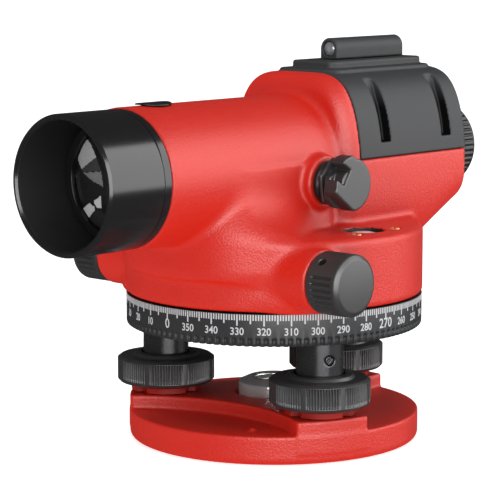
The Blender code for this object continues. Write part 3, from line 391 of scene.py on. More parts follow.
# ---- body casting -------------------------------------------------------------------------------------
BUBBLE_SCREWS = [(BUBBLE[0] + BUBBLE_SCREW_RING * math.cos(math.radians(a)),
                  BUBBLE[1] + BUBBLE_SCREW_RING * math.sin(math.radians(a))) for a in (-62, 62, 180)]
DRUM_TOP, DRUM_INSIDE = 80.0, 50.2             # height, and radius of the hollow over the circle
NECK_HALF, NECK_TAPER = 24.5, 0.1              # half width, and its growth for each mm down
NECK_FRONT, NECK_REAR, NECK_CORNER = -52.0, 12.0, 14.0
NECK_FOOT, NECK_TOP = 70.0, 103.0
SKIRT_TOP, SKIRT_FALL = 85.0, 0.26             # height at the neck, and fall for each mm outwards
SKIRT_FOOT = 66.0
DRIVE_BOSS, DRIVE_BOSS_END = 11.3, 51.4        # radius, and how far out it reaches
FOCUS_BOSS, FOCUS_BOSS_END = 9.8, 29.2
EAR_ANGLE, EAR_RADIUS, EAR_Z = 49.0, 54.2, 58.6    # the lugs low on the drum's front
EAR_SIZE = (12.0, 2.6, 4.2)                    # degrees round, mm outwards, mm high
COVER_SEAT = (14.25, 103.75)                   # the cut that the cover sits in: its front and its floor
CASTING_WALL = 3.0


def chamber(x, y, z):
    """The prism chamber without its ends: flattened crown, rounded flanks, and a floor rising to the rear."""
    drop = 28.0 - 0.643 * np.maximum(0, y - 57.6)
    dz = z - CHAMBER_Z
    a = np.abs(x) / CHAMBER_HALF
    up = dz >= 0
    b = np.where(up, dz / CHAMBER_CROWN, -dz / drop)
    p, q = np.where(up, 4.6, 5.0), np.where(up, 1.9, 3.0)
    g = a ** p + b ** q - 1
    slope_x = p * a ** (p - 1) / CHAMBER_HALF
    slope_z = q * np.maximum(b, 1e-6) ** (q - 1) / np.where(up, CHAMBER_CROWN, drop)
    slope = np.hypot(slope_x, slope_z)
    near = g / np.maximum(slope, 0.02)
    outer = np.maximum(np.abs(x) - CHAMBER_HALF, np.maximum(dz - CHAMBER_CROWN, -dz - drop))
    return np.maximum(np.clip(near, -16, 60), outer)


def neck(x, y, z, rho):
    """The square neck under the telescope, and the skirt that spreads from it to the drum's edge."""
    half = NECK_HALF + NECK_TAPER * np.maximum(0, CHAMBER_Z - z)
    dx, dy = np.abs(x) - half + NECK_CORNER, np.maximum(NECK_FRONT - y, y - NECK_REAR) + NECK_CORNER
    plan = np.minimum(np.maximum(dx, dy), 0) + np.hypot(np.maximum(dx, 0), np.maximum(dy, 0)) - NECK_CORNER
    column = np.maximum(plan, np.maximum(NECK_FOOT - z, z - NECK_TOP))
    slope = (z - SKIRT_TOP + SKIRT_FALL * np.maximum(plan, 0)) * 0.96
    skirt = round_max(rho - DRUM_RADIUS, slope, 5.0)
    wall = (np.abs(x) - 25 + y + 14) * 0.707
    skirt = round_max(skirt, np.maximum(wall, SKIRT_FOOT - z), 4.0)
    return soft_min(column, skirt, 15.0)


def body_field(x, y, z):
    """The casting: drum, neck, tube, prism chamber, bosses and lugs, less its bores and inside."""
    rho = np.hypot(x, y)
    form = round_max(round_max(rho - DRUM_RADIUS, z - DRUM_TOP, 2.4), DRUM_BOTTOM - z, 1.6)
    form = soft_min(form, neck(x, y, z, rho), 2.0)
    tube = np.maximum(np.hypot(x, z - SIGHT_Z) - TUBE_RADIUS, np.maximum(-BODY_END - y, y - 18))
    form = soft_min(form, tube, 3.5)
    form = np.maximum(form, np.maximum(-BODY_END - y, DRUM_BOTTOM - z))
    room = chamber(x, y, z)
    house = round_max(round_max(room, 7.0 - y, 6.5), y - BODY_END, 2.2)
    form = soft_min(form, house, 3.4)
    boss = round_max(np.hypot(y - DRIVE_Y, z - DRIVE_Z) - DRIVE_BOSS, np.abs(x) - DRIVE_BOSS_END, 0.8)
    form = soft_min(form, boss, 2.5)
    angle = np.degrees(np.arctan2(np.abs(x), -y))
    turn, out, high = EAR_SIZE
    ear = np.sqrt(((angle - EAR_ANGLE) / turn) ** 2 + ((z - EAR_Z) / high) ** 2
                  + ((rho - EAR_RADIUS) / out) ** 2) - 1
    form = soft_min(form, ear * out, 1.6)
    focus = np.hypot(y - FOCUS_Y, z - FOCUS_Z) - FOCUS_BOSS
    focus = round_max(focus, np.maximum(x - FOCUS_BOSS_END, 10 - x), 0.8)
    form = soft_min(form, focus, 2.0)

    form = carve(form, np.maximum(COVER_SEAT[1] - z, COVER_SEAT[0] - y), 0.3)
    form = carve(form, np.maximum(room + CASTING_WALL, np.maximum(16.6 - y, y - 72.0)))
    form = carve(form, rod(x, z - SIGHT_Z, TUBE_BORE, y, -90, 17), 0.3)
    form = carve(form, rod(x, z - SIGHT_Z, EYEPIECE_BORE, y, 60, 90))
    form = carve(form, rod(x, y, DRUM_INSIDE, z, 50, 76))
    form = carve(form, rod(y - DRIVE_Y, z - DRIVE_Z, 4.9, x, -60, 60))
    form = carve(form, rod(y - FOCUS_Y, z - FOCUS_Z, 2.4, x, 10, 40))
    form = carve(form, rod(x - BUBBLE[0], y - BUBBLE[1], BUBBLE_WELL, z, 70, 95), 0.12)
    for cx, cy in BUBBLE_SCREWS[:2]:
        form = carve(form, rod(x - cx, y - cy, 2.2, z, 70, 88))
    return form


body = add_form("body_shell", body_field, (-56.4, -79.4, 53.8), (56.4, 79.4, 136.2),
                0.8, RED, "telescope", ("body_housing",))
body.data.materials.append(INNER)
for polygon in body.data.polygons:             # the walls of the bubble's well are painted black, as painted shade inside the well
    px, py, pz = polygon.center / MM
    in_well = math.hypot(px - BUBBLE[0], py - BUBBLE[1]) < 7.95 and 72 < pz < 90
    polygon.material_index = int(in_well and abs(polygon.normal.z) < 0.55)


# ---- top cover ----------------------------------------------------------------------------------------
def rounded_plate(x, y, half, front, rear, corner):
    """Distance to a rounded rectangle in plan."""
    dx = np.abs(x) - (half - corner)
    dy = np.abs(y - (front + rear) / 2) - ((rear - front) / 2 - corner)
    return np.minimum(np.maximum(dx, dy), 0) + np.hypot(np.maximum(dx, 0), np.maximum(dy, 0)) - corner


# the two raised tiers: half width, front, rear, corner radius, top
TIERS = ((14.5, 15.6, 77.0, 6.0, 135.9), (10.3, 20.2, 75.0, 3.0, 138.7))
TIER_FOOT = 124
COVER_BOTTOM = 104.0
COVER_WALL = 3.4
GROOVES = (29.9, 66.3)
GROOVE_TOP, GROOVE_FOOT = 130.4, 109.4
GROOVE_FLAT, GROOVE_ROUND = 0.7, 2.2           # half width of its straight top, and radius of its corners
GROOVE_Z = (109.3, 115.0, 121.0, 126.5, 132.6)
GROOVE_X = (25.2, 24.3, 22.9, 20.9, 18.9)


def cover_field(x, y, z):
    """The black cover over the chamber, with two raised tiers on top and two grooves down each flank."""
    room = chamber(x, y, z)
    form = round_max(np.maximum(room, 14.8 - y), y - BODY_END, 1.6)
    for half, front, rear, corner, top in TIERS:
        tier = round_max(rounded_plate(x, y, half, front, rear, corner), z - top, 0.9)
        form = soft_min(form, np.maximum(tier, TIER_FOOT - z), 1.0)
    hollow = np.maximum(room + COVER_WALL, y - 74.9)
    depth = np.interp(z, GROOVE_Z, GROOVE_X) - np.abs(x)
    for middle in GROOVES:
        plan = np.hypot(np.maximum(np.abs(y - middle) - GROOVE_FLAT, 0), np.maximum(z - GROOVE_TOP, 0))
        plan = np.maximum(plan - GROOVE_ROUND, GROOVE_FOOT - z)
        form = round_max(form, -np.maximum(plan, depth), 0.35)
        hollow = np.maximum(hollow, -(np.maximum(plan, depth) - 1.3))
    form = np.maximum(form, -hollow)
    form = round_max(form, COVER_BOTTOM - z, 0.3)
    return carve(form, rod(x, z - SIGHT_Z, EYEPIECE_BORE, y, 70, 90))


cover = add_form("cover_shell", cover_field, (-30.9, 13.9, 103.2), (30.9, 79.2, 139.6),
                 0.55, COVER, "telescope", ("top_cover",))
cover.data.materials.append(GROOVE)
for polygon in cover.data.polygons:            # faces sunk below the flank, at a groove, are in its shadow
    px, py, pz = polygon.center / MM
    in_groove = min(abs(py - middle) for middle in GROOVES) < 3.2 and 109 < pz < 131
    polygon.material_index = int(in_groove and chamber(np.array(px), np.array(py), np.array(pz)) < -0.45)


# ---- sight --------------------------------------------------------------------------------------------
SIGHT_HALF, SIGHT_BORE, SIGHT_FOOT = 4.1, 2.9, 139.0
SIGHT_FRONT, SIGHT_REAR = 30.7, 70.5


def sight_field(x, y, z):
    """A long block with an arched top and a bore from end to end."""
    arch = np.where(z > SIGHT_CROWN, np.hypot(x, z - SIGHT_CROWN) - SIGHT_HALF, np.abs(x) - SIGHT_HALF)
    form = round_max(round_max(arch, SIGHT_FRONT - y, 0.5), y - SIGHT_REAR, 0.5)
    form = np.maximum(form, SIGHT_FOOT - z)
    return carve(form, rod(x, z - SIGHT_CROWN, SIGHT_BORE, y, 20, 80), 0.25)


add_form("sight_body", sight_field, (-4.9, 29.9, 138.2), (4.9, 71.3, 147.4), 0.42, COVER, "telescope",
         ("sight_housing",))
for label, face in (("front", 31.3), ("rear", 67.9)):
    lathe(f"sight_glass_{label}", [(2.6, face + 2, 0.2), (2.6, face, 0.2)], 32, WINDOW, "telescope",
          (f"sight_window_{label}",), along("+Y", z=SIGHT_CROWN), closed=False)


# ---- badge --------------------------------------------------------------------------------------------
BADGE_Y = -63.0
BADGE_LENGTH, BADGE_WIDTH = 7.3, 5.3           # halves, along the tube and round it
BADGE_UNDER, BADGE_TOP = 25.15, 25.8           # radii from the tube's axis


def badge_field(x, y, z):
    """A thin oval plate curved to the tube."""
    radial = np.hypot(x, z - SIGHT_Z)
    arc = np.arctan2(x, z - SIGHT_Z) * 25.0
    plan = np.hypot((y - BADGE_Y) / BADGE_LENGTH, arc / BADGE_WIDTH)
    oval = (plan - 1) * BADGE_WIDTH
    return np.maximum(round_max(oval, radial - BADGE_TOP, 0.4), BADGE_UNDER - radial)


add_form("badge_blank", badge_field, (-6.6, -72, 125.6), (6.6, -52, 128.6), 0.4, SATIN, "telescope",
         ("badge_plate",))

# ---- telescope front ----------------------------------------------------------------------------------
hood = lathe("sunshade_hood",
             [(22.9, 107.3, 0.3), (23.7, 107.3, 0.3), (24.4, 106.2, 0.5), (24.4, 81.9, 0.3),
              (22.2, 81.9, 0.1), (22.2, 106.3, 0.4)],
             160, HOOD, "telescope", ("sunshade",), along("-Y", z=SIGHT_Z))
hood.data.materials.append(INNER)
for polygon in hood.data.polygons:             # matt black inside
    px, _, pz = polygon.center / MM
    polygon.material_index = int(math.hypot(px, pz - SIGHT_Z) < 22.35)
lathe("objective_mount", [(18.7, 84.8, 0.25), (21.6, 84.8, 0.2), (21.6, 81.6, 0), (24.3, 81.6, 0.3),
                          (24.4, 78.6, 0.2), (21.6, 78.6, 0), (21.6, 62, 0), (16.7, 62, 0), (16.7, 74, 0),
                          (18.7, 74, 0)],
      160, HOOD, "telescope", ("objective_cell",), along("-Y", z=SIGHT_Z))

# painted reflections in the objective, as outlines across (x, height from the axis): which painted reflection,
# corners
PAINTED_REFLECTION_OUTLINES = (
    (0, ((-13.8, 14.3), (-10.1, 12.0), (-6.8, 7.7), (-10.2, 5.6), (-14.9, 2.9), (-16.9, 6.0), (-18.1, 8.6),
         (-16.2, 11.6))),
    (1, ((-14.9, 2.9), (-6.8, 7.7), (-4.2, 3.2), (-13.6, 1.9))),
    (2, ((-13.6, 1.7), (-4.0, 3.0), (-3.0, -2.2), (-8.3, -0.8), (-11.0, 0.4))),
    (3, ((-8.4, -7.8), (-4.6, -5.6), (-4.2, -10.0), (-7.1, -9.7))),
    (3, ((-15.5, -11.2), (-10.8, -8.7), (-8.4, -9.6), (-8.4, -11.0), (-12.2, -14.2))),
    (2, ((-20.1, 0.6), (-18.2, 2.4), (-17.8, -0.4))),
    (4, ((-12.0, -14.6), (-7.0, -10.4), (-2.0, -12.0), (-6.0, -18.0))),
    (0, ((8.0, 12.0), (13.5, 8.5), (12.0, 3.0), (6.5, 6.0))),
)


def inside(point, corners):
    """True if a point lies in an outline, by the crossings of a ray."""
    x, z = point
    odd = False
    for (ax, az), (bx, bz) in zip(corners, corners[1:] + corners[:1]):
        if (az > z) != (bz > z) and x < (bx - ax) * (z - az) / (bz - az) + ax:
            odd = not odd
    return odd


LENS_RADIUS, LENS_FRONT, LENS_BACK = 18.4, -84.6, -76.4


def objective_field(x, y, z):
    """A lens with two domed faces."""
    r = np.hypot(x, z - SIGHT_Z)
    front = LENS_FRONT + 0.0045 * r * r - y
    back = y - LENS_BACK - 0.004 * r * r
    return round_max(np.maximum(front, back), r - LENS_RADIUS, 0.2)


objective = add_form("objective_glass", objective_field, (-18.9, -85.2, SIGHT_Z - 18.9),
                     (18.9, -75.4, SIGHT_Z + 18.9), 0.42, LENS_DARK, "telescope",
                     ("objective_lens",))
for reflection_patch in PAINTED_REFLECTION_FINISHES:
    objective.data.materials.append(reflection_patch)
for polygon in objective.data.polygons:        # front faces inside an outline take its painted reflection
    spot_x, _, spot_z = polygon.center / MM
    for reflection_patch, corners in PAINTED_REFLECTION_OUTLINES:
        if polygon.normal.y < -0.5 and inside((spot_x, spot_z - SIGHT_Z), corners):
            polygon.material_index = reflection_patch + 1


# ---- eyepiece -----------------------------------------------------------------------------------------
GRIP_RADIUS, GRIP_RIBS = 17.0, 48


def eyepiece_ribs(phi, r, h):
    """Straight grip ribs round the eyepiece ring."""
    on = (np.abs(r - GRIP_RADIUS) < 0.4) & (h > 84.5) & (h < 99.5)
    return np.where(on, -0.45 * smooth_step(np.cos(GRIP_RIBS * phi), -0.2, 0.6), 0.0)


lathe("eyepiece_collar", [(10.8, 94, 0), (13.0, 94, 0), (13.0, 81.8, 0), (17.4, 81.6, 0.4), (18.0, 81.0, 0.4),
                          (18.0, 78.6, 0.2), (13.0, 78.6, 0), (13.0, 67, 0), (10.8, 67, 0)],
      128, SATIN, "telescope", ("eyepiece_barrel",), along("+Y", z=SIGHT_Z))
lathe("eyepiece_ring", [(8.0, 107.3, 0.4), (11.4, 107.3, 0.6), (12.6, 105.8, 0.6), (13.4, 102.6, 1.5),
                        (16.4, 101.4, 0.6), (GRIP_RADIUS, 100.2, 0.3)]
      + [(GRIP_RADIUS, h, 0) for h in (99.4, 97, 90, 85, 84.0)]
      + [(16.0, 82.2, 0.3), (13.3, 82.2, 0), (13.3, 96, 0), (10.9, 96, 0), (10.9, 104.6, 0),
         (8.0, 105.2, 0.2)],
      384, SATIN, "diopter", ("diopter_ring",), along("+Y", z=SIGHT_Z), wave=eyepiece_ribs)
lathe("eyepiece_cell", [(8.2, 101.2, 0.2), (10.5, 101.2, 0.3), (10.5, 84, 0), (7.4, 84, 0), (7.4, 95, 0),
                        (8.2, 95, 0)],
      96, SATIN, "ocular", ("ocular_cell",), along("+Y", z=SIGHT_Z))
eye_dome = [(7.9 * math.sin(t), 99.4 + 1.2 * math.cos(t), 0) for t in np.linspace(0.0, math.pi / 2, 7)[1:]]
lathe("eyepiece_glass", eye_dome + [(7.9, 96.4, 0), (4.0, 95.4, 0)], 64, EYE_GLASS, "ocular",
      ("ocular_lens",), along("+Y", z=SIGHT_Z), closed=False)


# ---- focus knob ---------------------------------------------------------------------------------------
FOCUS_WHEEL, FOCUS_FOOT, FOCUS_WAIST, FOCUS_PLATE = 9.5, 7.9, 5.6, 8.3     # radii of its four parts
NOTCH_ANGLE, NOTCH_FLOOR, NOTCH_HALF = 147, 4.6, 3.2
FLAT_ANGLE, FLAT_REACH = 234, 7.9


def focus_knob_field(x, y, z):
    """A lobed thumb wheel with a deep square notch and a flat, on a waist and a six-sided back plate."""
    u, v = y - FOCUS_Y, z - FOCUS_Z
    r = np.hypot(u, v)
    phi = np.degrees(np.arctan2(v, u)) % 360

    def lobe(middle, width, height):
        """A swelling of the rim about one angle, in degrees."""
        away = np.abs((phi - middle + 180) % 360 - 180)
        return height * smooth_step(width - away, 0, width * 0.5)

    def toward(degrees):
        """Distance from the axis in one direction."""
        t = math.radians(degrees)
        return u * math.cos(t) + v * math.sin(t)

    rim = r - FOCUS_WHEEL - lobe(108, 26, 1.1) - lobe(198, 16, 0.7)
    rim = round_max(rim, toward(FLAT_ANGLE) - FLAT_REACH, 0.6)
    notch = np.maximum(NOTCH_FLOOR - toward(NOTCH_ANGLE),
                       np.abs(toward(NOTCH_ANGLE - 90) - 0.3) - NOTCH_HALF)
    wheel = round_max(round_max(rim, x - 42.0, 0.6), 36.0 - x, 0.5)
    wheel = round_max(wheel, -notch, 0.35)
    foot = round_max(r - FOCUS_FOOT - lobe(228, 34, 1.4), toward(110) - 5.5, 0.5)
    foot = round_max(foot, np.maximum(34.4 - x, x - 37), 0.4)
    waist = round_max(r - FOCUS_WAIST, np.maximum(32.6 - x, x - 41), 0.3)
    hexagon = np.maximum(np.maximum(np.abs(toward(10)), np.abs(toward(70))), np.abs(toward(130)))
    plate = round_max(hexagon - FOCUS_PLATE, np.maximum(32.6 - x, x - 33.9), 0.4)
    form = np.minimum(round_min(wheel, waist, 0.4), np.minimum(plate, foot))
    return carve(form, rod(u, v, 2.3, x, 20, 40.4))


add_form("focus_wheel", focus_knob_field, (31.8, -15.6, 85.6), (42.8, 7.6, 109.2), 0.4, KNOB, "focus_pinion",
         ("focus_knob",))
lathe("focus_rosette",
      [(2.4, 31.7, 0), (7.2, 31.7, 0.3), (8.0, 31.0, 0.3), (8.0, 29.5, 0.2), (2.4, 29.5, 0)], 72, SATIN,
      "telescope", ("focus_flange",), along("+X", y=FOCUS_Y, z=FOCUS_Z))


# ---- tangent drive knobs ------------------------------------------------------------------------------
KNOB_RADIUS, KNOB_BACK, KNOB_FACE = 11.0, 51.8, 66.0
KNOB_HOLE, KNOB_HOLE_TILT = 56.2, 40           # the set screw's hole: distance out, and tilt in degrees
FLUTES = 30


def drive_knob_field(side):
    """A drum knob with three groups of flutes and a set screw hole; side is 1 for +X, -1 for -X."""
    def field(x, y, z):
        d = side * x
        u, v = y - DRIVE_Y, z - DRIVE_Z
        r = np.hypot(u, v)
        phi = np.arctan2(u, v)
        group = np.cos(3 * (phi + 1.75))
        flutes = 0.7 * smooth_step(np.cos(FLUTES * phi), 0.0, 0.8) * smooth_step(group, -0.2, 0.1)
        flutes = flutes * smooth_step(d, 53.6, 54.6) * (1 - smooth_step(d, 62.6, 63.4))
        form = round_max(r - KNOB_RADIUS + flutes, KNOB_BACK - d, 0.6)
        form = round_max(form, (r - 10.0) * 0.55 + (d - 65.2) * 0.83, 0.5)
        form = np.maximum(form, d - KNOB_FACE + 0.004 * r * r)
        form = carve(form, rod(u, v, 3.9, d, 40, 62.3))
        tilt = math.radians(KNOB_HOLE_TILT)
        across = np.hypot(d - KNOB_HOLE, u * math.cos(tilt) + v * math.sin(tilt))
        depth = -u * math.sin(tilt) + v * math.cos(tilt)
        return carve(form, np.maximum(across - 1.5, 8.0 - depth), 0.25)
    return field


for label, side in (("left", 1), ("right", -1)):
    ends = sorted((side * 50.9, side * 66.7))
    add_form(f"drive_wheel_{label}", drive_knob_field(side), (ends[0], -42.8, 54.6), (ends[1], -19.2, 78.2),
             0.42, KNOB, "tangent_screw", (f"drive_knob_{label}",))

# ---- round bubble -------------------------------------------------------------------------------------
lathe("bubble_glass",
      [(2.4, 79.35, 0), (4.8, 78.9, 0), (6.6, 78.1, 0.3), (7.2, 77.2, 0), (7.2, 73.7, 0)], 64, SPIRIT,
      "telescope", ("bubble_vial",), along("+Z", *BUBBLE), closed=False)


def screw_field(cx, cy, head, top):
    """A slotted screw, head up, about a vertical axis."""
    def field(x, y, z):
        r = np.hypot(x - cx, y - cy)
        form = round_max(round_max(r - head, z - top, 0.25), top - 1.6 - z, 0.1)
        shank = np.maximum(r - 1.2, np.maximum(70 - z, z - top + 1))
        form = np.minimum(form, shank)
        slot = np.maximum(np.abs((x - cx) * 0.8 + (y - cy) * 0.6) - 0.28, top - 0.6 - z)
        return np.maximum(form, -slot)
    return field


for number, (cx, cy) in enumerate(BUBBLE_SCREWS, 1):
    head, top = (1.9, 80.1) if number < 3 else (1.2, 75.7)
    add_form(f"vial_screw_{number}", screw_field(cx, cy, head, top), (cx - 2.4, cy - 2.4, 69.4),
             (cx + 2.4, cy + 2.4, top + 0.5), 0.25, BRASS, "telescope", (f"bubble_screw_{number}",))


# ---- horizontal circle --------------------------------------------------------------------------------
GRIP_TOP, SCALLOPS = 46.1, 120                 # top of the scalloped grip, and its count
ZERO_ANGLE = -1.70                             # where the circle's zero stands, in degrees round from -Y
MARK_R = (54.9, 55.06)                         # the marks stand this far in and out of the edge
MARK_TOP = 54.25
NUMBER_SQUEEZE = 0.92


def circle_teeth(phi, r, h):
    """Scalloped grip round the lower edge of the circle."""
    on = (r > 52.0) & (h < GRIP_TOP)
    depth = smooth_step(GRIP_TOP - h, 0.0, 0.8) * 0.95
    return np.where(on, -depth * smooth_step(np.cos(SCALLOPS * phi), -0.35, 0.45), 0.0)


rim_rows = [(CIRCLE_RADIUS, h, 0) for h in (54.3, 50.0, 46.2, 45.8, 45.4, 45.0, 44.4, 43.8)]
lathe("graduated_circle", [(40.0, 52.4, 0), (50.0, 52.4, 0), (50.0, 54.4, 0), (54.7, 54.4, 0.2)] + rim_rows
      + [(54.8, 43.2, 0), (54.2, 42.8, 0), (53.4, 42.6, 0.1), (50.0, 42.6, 0.3), (50.0, 50.2, 0),
         (40.0, 50.2, 0)],
      1440, DIAL, "circle", ("horizontal_circle",), wave=circle_teeth)


def mark_box(verts, faces, angle, half, low, high):
    """Adds one thin raised mark on the circle's edge."""
    base = len(verts)
    for radius in MARK_R:
        for sign in (-1, 1):
            t = math.radians(angle) + sign * half / radius
            for z in (low, high):
                verts.append((radius * math.sin(t), -radius * math.cos(t), z))
    for quad in ((4, 6, 7, 5), (0, 1, 3, 2), (0, 4, 5, 1), (2, 3, 7, 6), (1, 5, 7, 3), (0, 2, 6, 4)):
        faces.append([base + i for i in quad])


def circle_marks():
    """Degree marks, and a number every ten degrees bent to the circle's edge."""
    verts, faces = [], []
    for n in range(360):
        low = 50.3 if n % 10 == 0 else 51.0 if n % 5 == 0 else 52.2
        mark_box(verts, faces, ZERO_ANGLE - n, 0.24 if n % 5 else 0.27, low, MARK_TOP)
    add_piece("circle_ticks", verts, faces, MARKS, "circle", flat_angle=20)
    for n in range(0, 360, 10):
        big = n % 90 == 0
        text = bpy.data.curves.new(f"number_{n}", "FONT")
        text.body = str(n)
        text.align_x, text.align_y = "CENTER", "CENTER"
        text.size = (4.9 if big else 3.7)
        text.extrude = 0.07
        text.offset = 0.05
        text.resolution_u = 4
        source = bpy.data.objects.new(f"number_source_{n}", text)
        bpy.context.scene.collection.objects.link(source)
        bpy.context.view_layer.update()
        shape = bpy.data.meshes.new_from_object(source.evaluated_get(bpy.context.evaluated_depsgraph_get()))
        co = np.array([v.co for v in shape.vertices])
        polygons = [list(p.vertices) for p in shape.polygons]
        bpy.data.objects.remove(source)
        middle = (co.min(0) + co.max(0)) / 2
        turn = math.radians(ZERO_ANGLE - n) + (co[:, 0] - middle[0]) * NUMBER_SQUEEZE / CIRCLE_RADIUS
        radius = CIRCLE_RADIUS + co[:, 2] * 0.8
        level = (48.7 if big else 48.3) + (co[:, 1] - middle[1])
        bent = np.stack([radius * np.sin(turn), -radius * np.cos(turn), level], 1)
        add_piece(f"circle_number_{n}", bent, polygons, MARKS, "circle", flat_angle=30)


circle_marks()

# ---- tribrach -----------------------------------------------------------------------------------------
lathe("tribrach_disc",
      [(14.3, 49.9, 0), (48.6, 49.9, 0.4), (49.4, 49.2, 0.4), (49.4, 44.0, 0.5), (14.3, 44.0, 0)],
      128, SATIN, "base", ("tribrach_plate",))


# ---- base casting -------------------------------------------------------------------------------------
DISC_TOP, STAR_TOP = 10.5, 15.7
SCALLOP_PITCH, SCALLOP_RADIUS = 88.6, 63.3
SOCKET_RADIUS = 6.3                            # clearance for a foot screw's ball end
NUB = (24.2, -38.2, 10.3)                      # a small casting pip on the disc
BUSH_HEAD, BUSH_BORE, BUSH_THREAD = 13.3, 7.2, 2.3     # two radii, and the thread's pitch


def spot(angle, distance):
    """Plan position at an angle in degrees round from -Y."""
    t = math.radians(angle)
    return distance * math.sin(t), -distance * math.cos(t)


def base_field(x, y, z):
    """A round plate with a raised three-armed star, left by three scallops."""
    rho = np.hypot(x, y)
    disc = round_max(round_max(rho - BASE_RADIUS, z - DISC_TOP, 0.8), -z, 2.2)
    star = round_max(rho - BASE_RADIUS, z - STAR_TOP, 0.8)
    for angle in FOOT_ANGLES:
        cx, cy = spot(angle - 60, SCALLOP_PITCH)
        star = round_max(star, SCALLOP_RADIUS - np.hypot(x - cx, y - cy), 0.8)
    star = np.maximum(star, 4 - z)
    form = round_min(disc, star, 0.9)
    nub = np.sqrt((x - NUB[0]) ** 2 + (y - NUB[1]) ** 2 + (z - NUB[2]) ** 2) - 1.5
    form = soft_min(form, nub, 0.5)
    for angle in FOOT_ANGLES:
        cx, cy = spot(angle, FOOT_PITCH)
        form = carve(form, rod(x - cx, y - cy, SOCKET_RADIUS, z, 8, 30))
    form = carve(form, rod(x, y, 14.2, z, 13, 30), 0.3)
    return carve(form, rod(x, y, 11.0, z, -10, 30))


add_form("base_casting", base_field, (-54.8, -54.8, -0.9), (54.8, 54.8, 16.6),
         0.7, RED, "base", ("base_plate",))


def bush_field(x, y, z):
    """The tripod bush: a bevelled head with a groove, a threaded bore and a side hole."""
    rho = np.hypot(x, y)
    form = round_max(rho - BUSH_HEAD, 13.3 - z, 0.3)
    form = round_max(form, (rho - BUSH_HEAD) * 0.42 + (z - 19.9) * 0.907, 0.3)
    form = round_max(form, z - 21.8, 0.3)
    groove = np.maximum(np.abs(z - 15.0) - 0.25, 12.9 - rho)
    form = np.maximum(form, -groove)
    spigot = np.maximum(rho - 10.7, np.maximum(0.4 - z, z - 14))
    form = np.minimum(form, spigot)
    thread = 0.25 * smooth_step(np.cos(2 * math.pi * z / BUSH_THREAD), -0.4, 0.4)
    form = round_max(form, BUSH_BORE - rho - thread, 0.5)
    u, v = spot(41.0, 1.0)
    side = np.hypot(x * v - y * u, z - 17.2)
    return carve(form, np.maximum(side - 0.95, 8 - (x * u + y * v)))


add_form("bush_turned", bush_field, (-14.1, -14.1, -0.4), (14.1, 14.1, 22.6), 0.5, NICKEL, "base",
         ("tripod_bush",))


# ---- foot screws --------------------------------------------------------------------------------------
FOOT_WHEEL, FOOT_RIBS = 18.2, 112
SLEEVE_RADIUS, SLEEVE_TOP, SLEEVE_BOTTOM = 8.5, 43.7, 28.0


def knob_ribs(phi, r, h):
    """Eight groups of fine grip ribs with smooth lands between them."""
    on = (r > 17.6) & (h > 20.6) & (h < 27.9)
    group = smooth_step(np.cos(8 * phi), -0.93, -0.80)
    return np.where(on, -0.42 * group * smooth_step(np.cos(FOOT_RIBS * phi), -0.3, 0.5), 0.0)


def cap_slots(phi, r, h):
    """Four shallow slots in the cap's edge."""
    return np.where(r > 10.0, -2.0 * smooth_step(np.cos(4 * phi), 0.78, 0.90), 0.0)


def sleeve_field(cx, cy, ux, uy):
    """A sleeve round a foot screw, with a set screw hole on the side that (ux, uy) points to."""
    def field(x, y, z):
        a, b = x - cx, y - cy
        r = np.hypot(a, b)
        form = round_max(round_max(r - SLEEVE_RADIUS, z - SLEEVE_TOP, 0.3), SLEEVE_BOTTOM - z, 0.3)
        form = round_max(form, 4.6 - r, 0.2)
        side = np.hypot(a * uy - b * ux, z - SET_SCREW_Z)
        return carve(form, np.maximum(side - 1.8, 2 - (a * ux + b * uy)), 0.2)
    return field


def set_screw_field(cx, cy, ux, uy):
    """A slotted set screw lying in that hole."""
    def field(x, y, z):
        a, b = x - cx, y - cy
        out, side = a * ux + b * uy, a * uy - b * ux
        r = np.hypot(side, z - SET_SCREW_Z)
        form = round_max(r - 1.5, np.maximum(5.2 - out, out - 8.1), 0.2)
        slot = np.maximum(np.abs(side * 0.8 + (z - SET_SCREW_Z) * 0.6) - 0.25, 7.5 - out)
        return np.maximum(form, -slot)
    return field


for number, angle in enumerate(FOOT_ANGLES, 1):
    cx, cy = spot(angle, FOOT_PITCH)
    ux, uy = spot(angle, 1.0)
    here = along("+Z", cx, cy)
    rib_rows = [(FOOT_WHEEL, h, 0) for h in (27.95, 27.85, 25, 22, 20.65, 20.55)]
    lathe(f"foot_wheel_{number}", [(9.2, 30.3, 0.2), (10.2, 30.5, 0.5), (11.8, 30.3, 0.8), (12.7, 29.0, 0.35),
                                   (17.0, 29.0, 0.5), (FOOT_WHEEL, 28.1, 0.2)] + rib_rows
          + [(FOOT_WHEEL, 20.3, 0.2), (17.2, 19.2, 0.5), (4.3, 19.2, 0), (4.3, 26.9, 0), (9.2, 26.9, 0)],
          896, KNOB, f"foot_screw_{number}", (f"foot_knob_{number}",), here, wave=knob_ribs)
    # the seats take the darker red: painted shade under the knobs
    lathe(f"foot_seat_{number}", [(5.2, 18.7, 0.2), (12.4, 18.7, 0.4), (13.0, 18.0, 0.3), (13.0, 16.0, 0.2),
                                  (5.2, 16.0, 0)],
          144, SEAT_PAINTED_SHADE, "base", (f"foot_cap_{number}",), here, wave=cap_slots)
    add_form(f"foot_sleeve_{number}", sleeve_field(cx, cy, ux, uy), (cx - 9.2, cy - 9.2, 27.3),
             (cx + 9.2, cy + 9.2, 44.4), 0.4, GUNMETAL, "base", (f"adjusting_sleeve_{number}",))
    add_form(f"sleeve_grub_{number}", set_screw_field(cx, cy, ux, uy),
             (cx + ux * 6.6 - 3, cy + uy * 6.6 - 3, 34.0), (cx + ux * 6.6 + 3, cy + uy * 6.6 + 3, 38.2),
             0.22, GUNMETAL, "base", (f"sleeve_screw_{number}",))


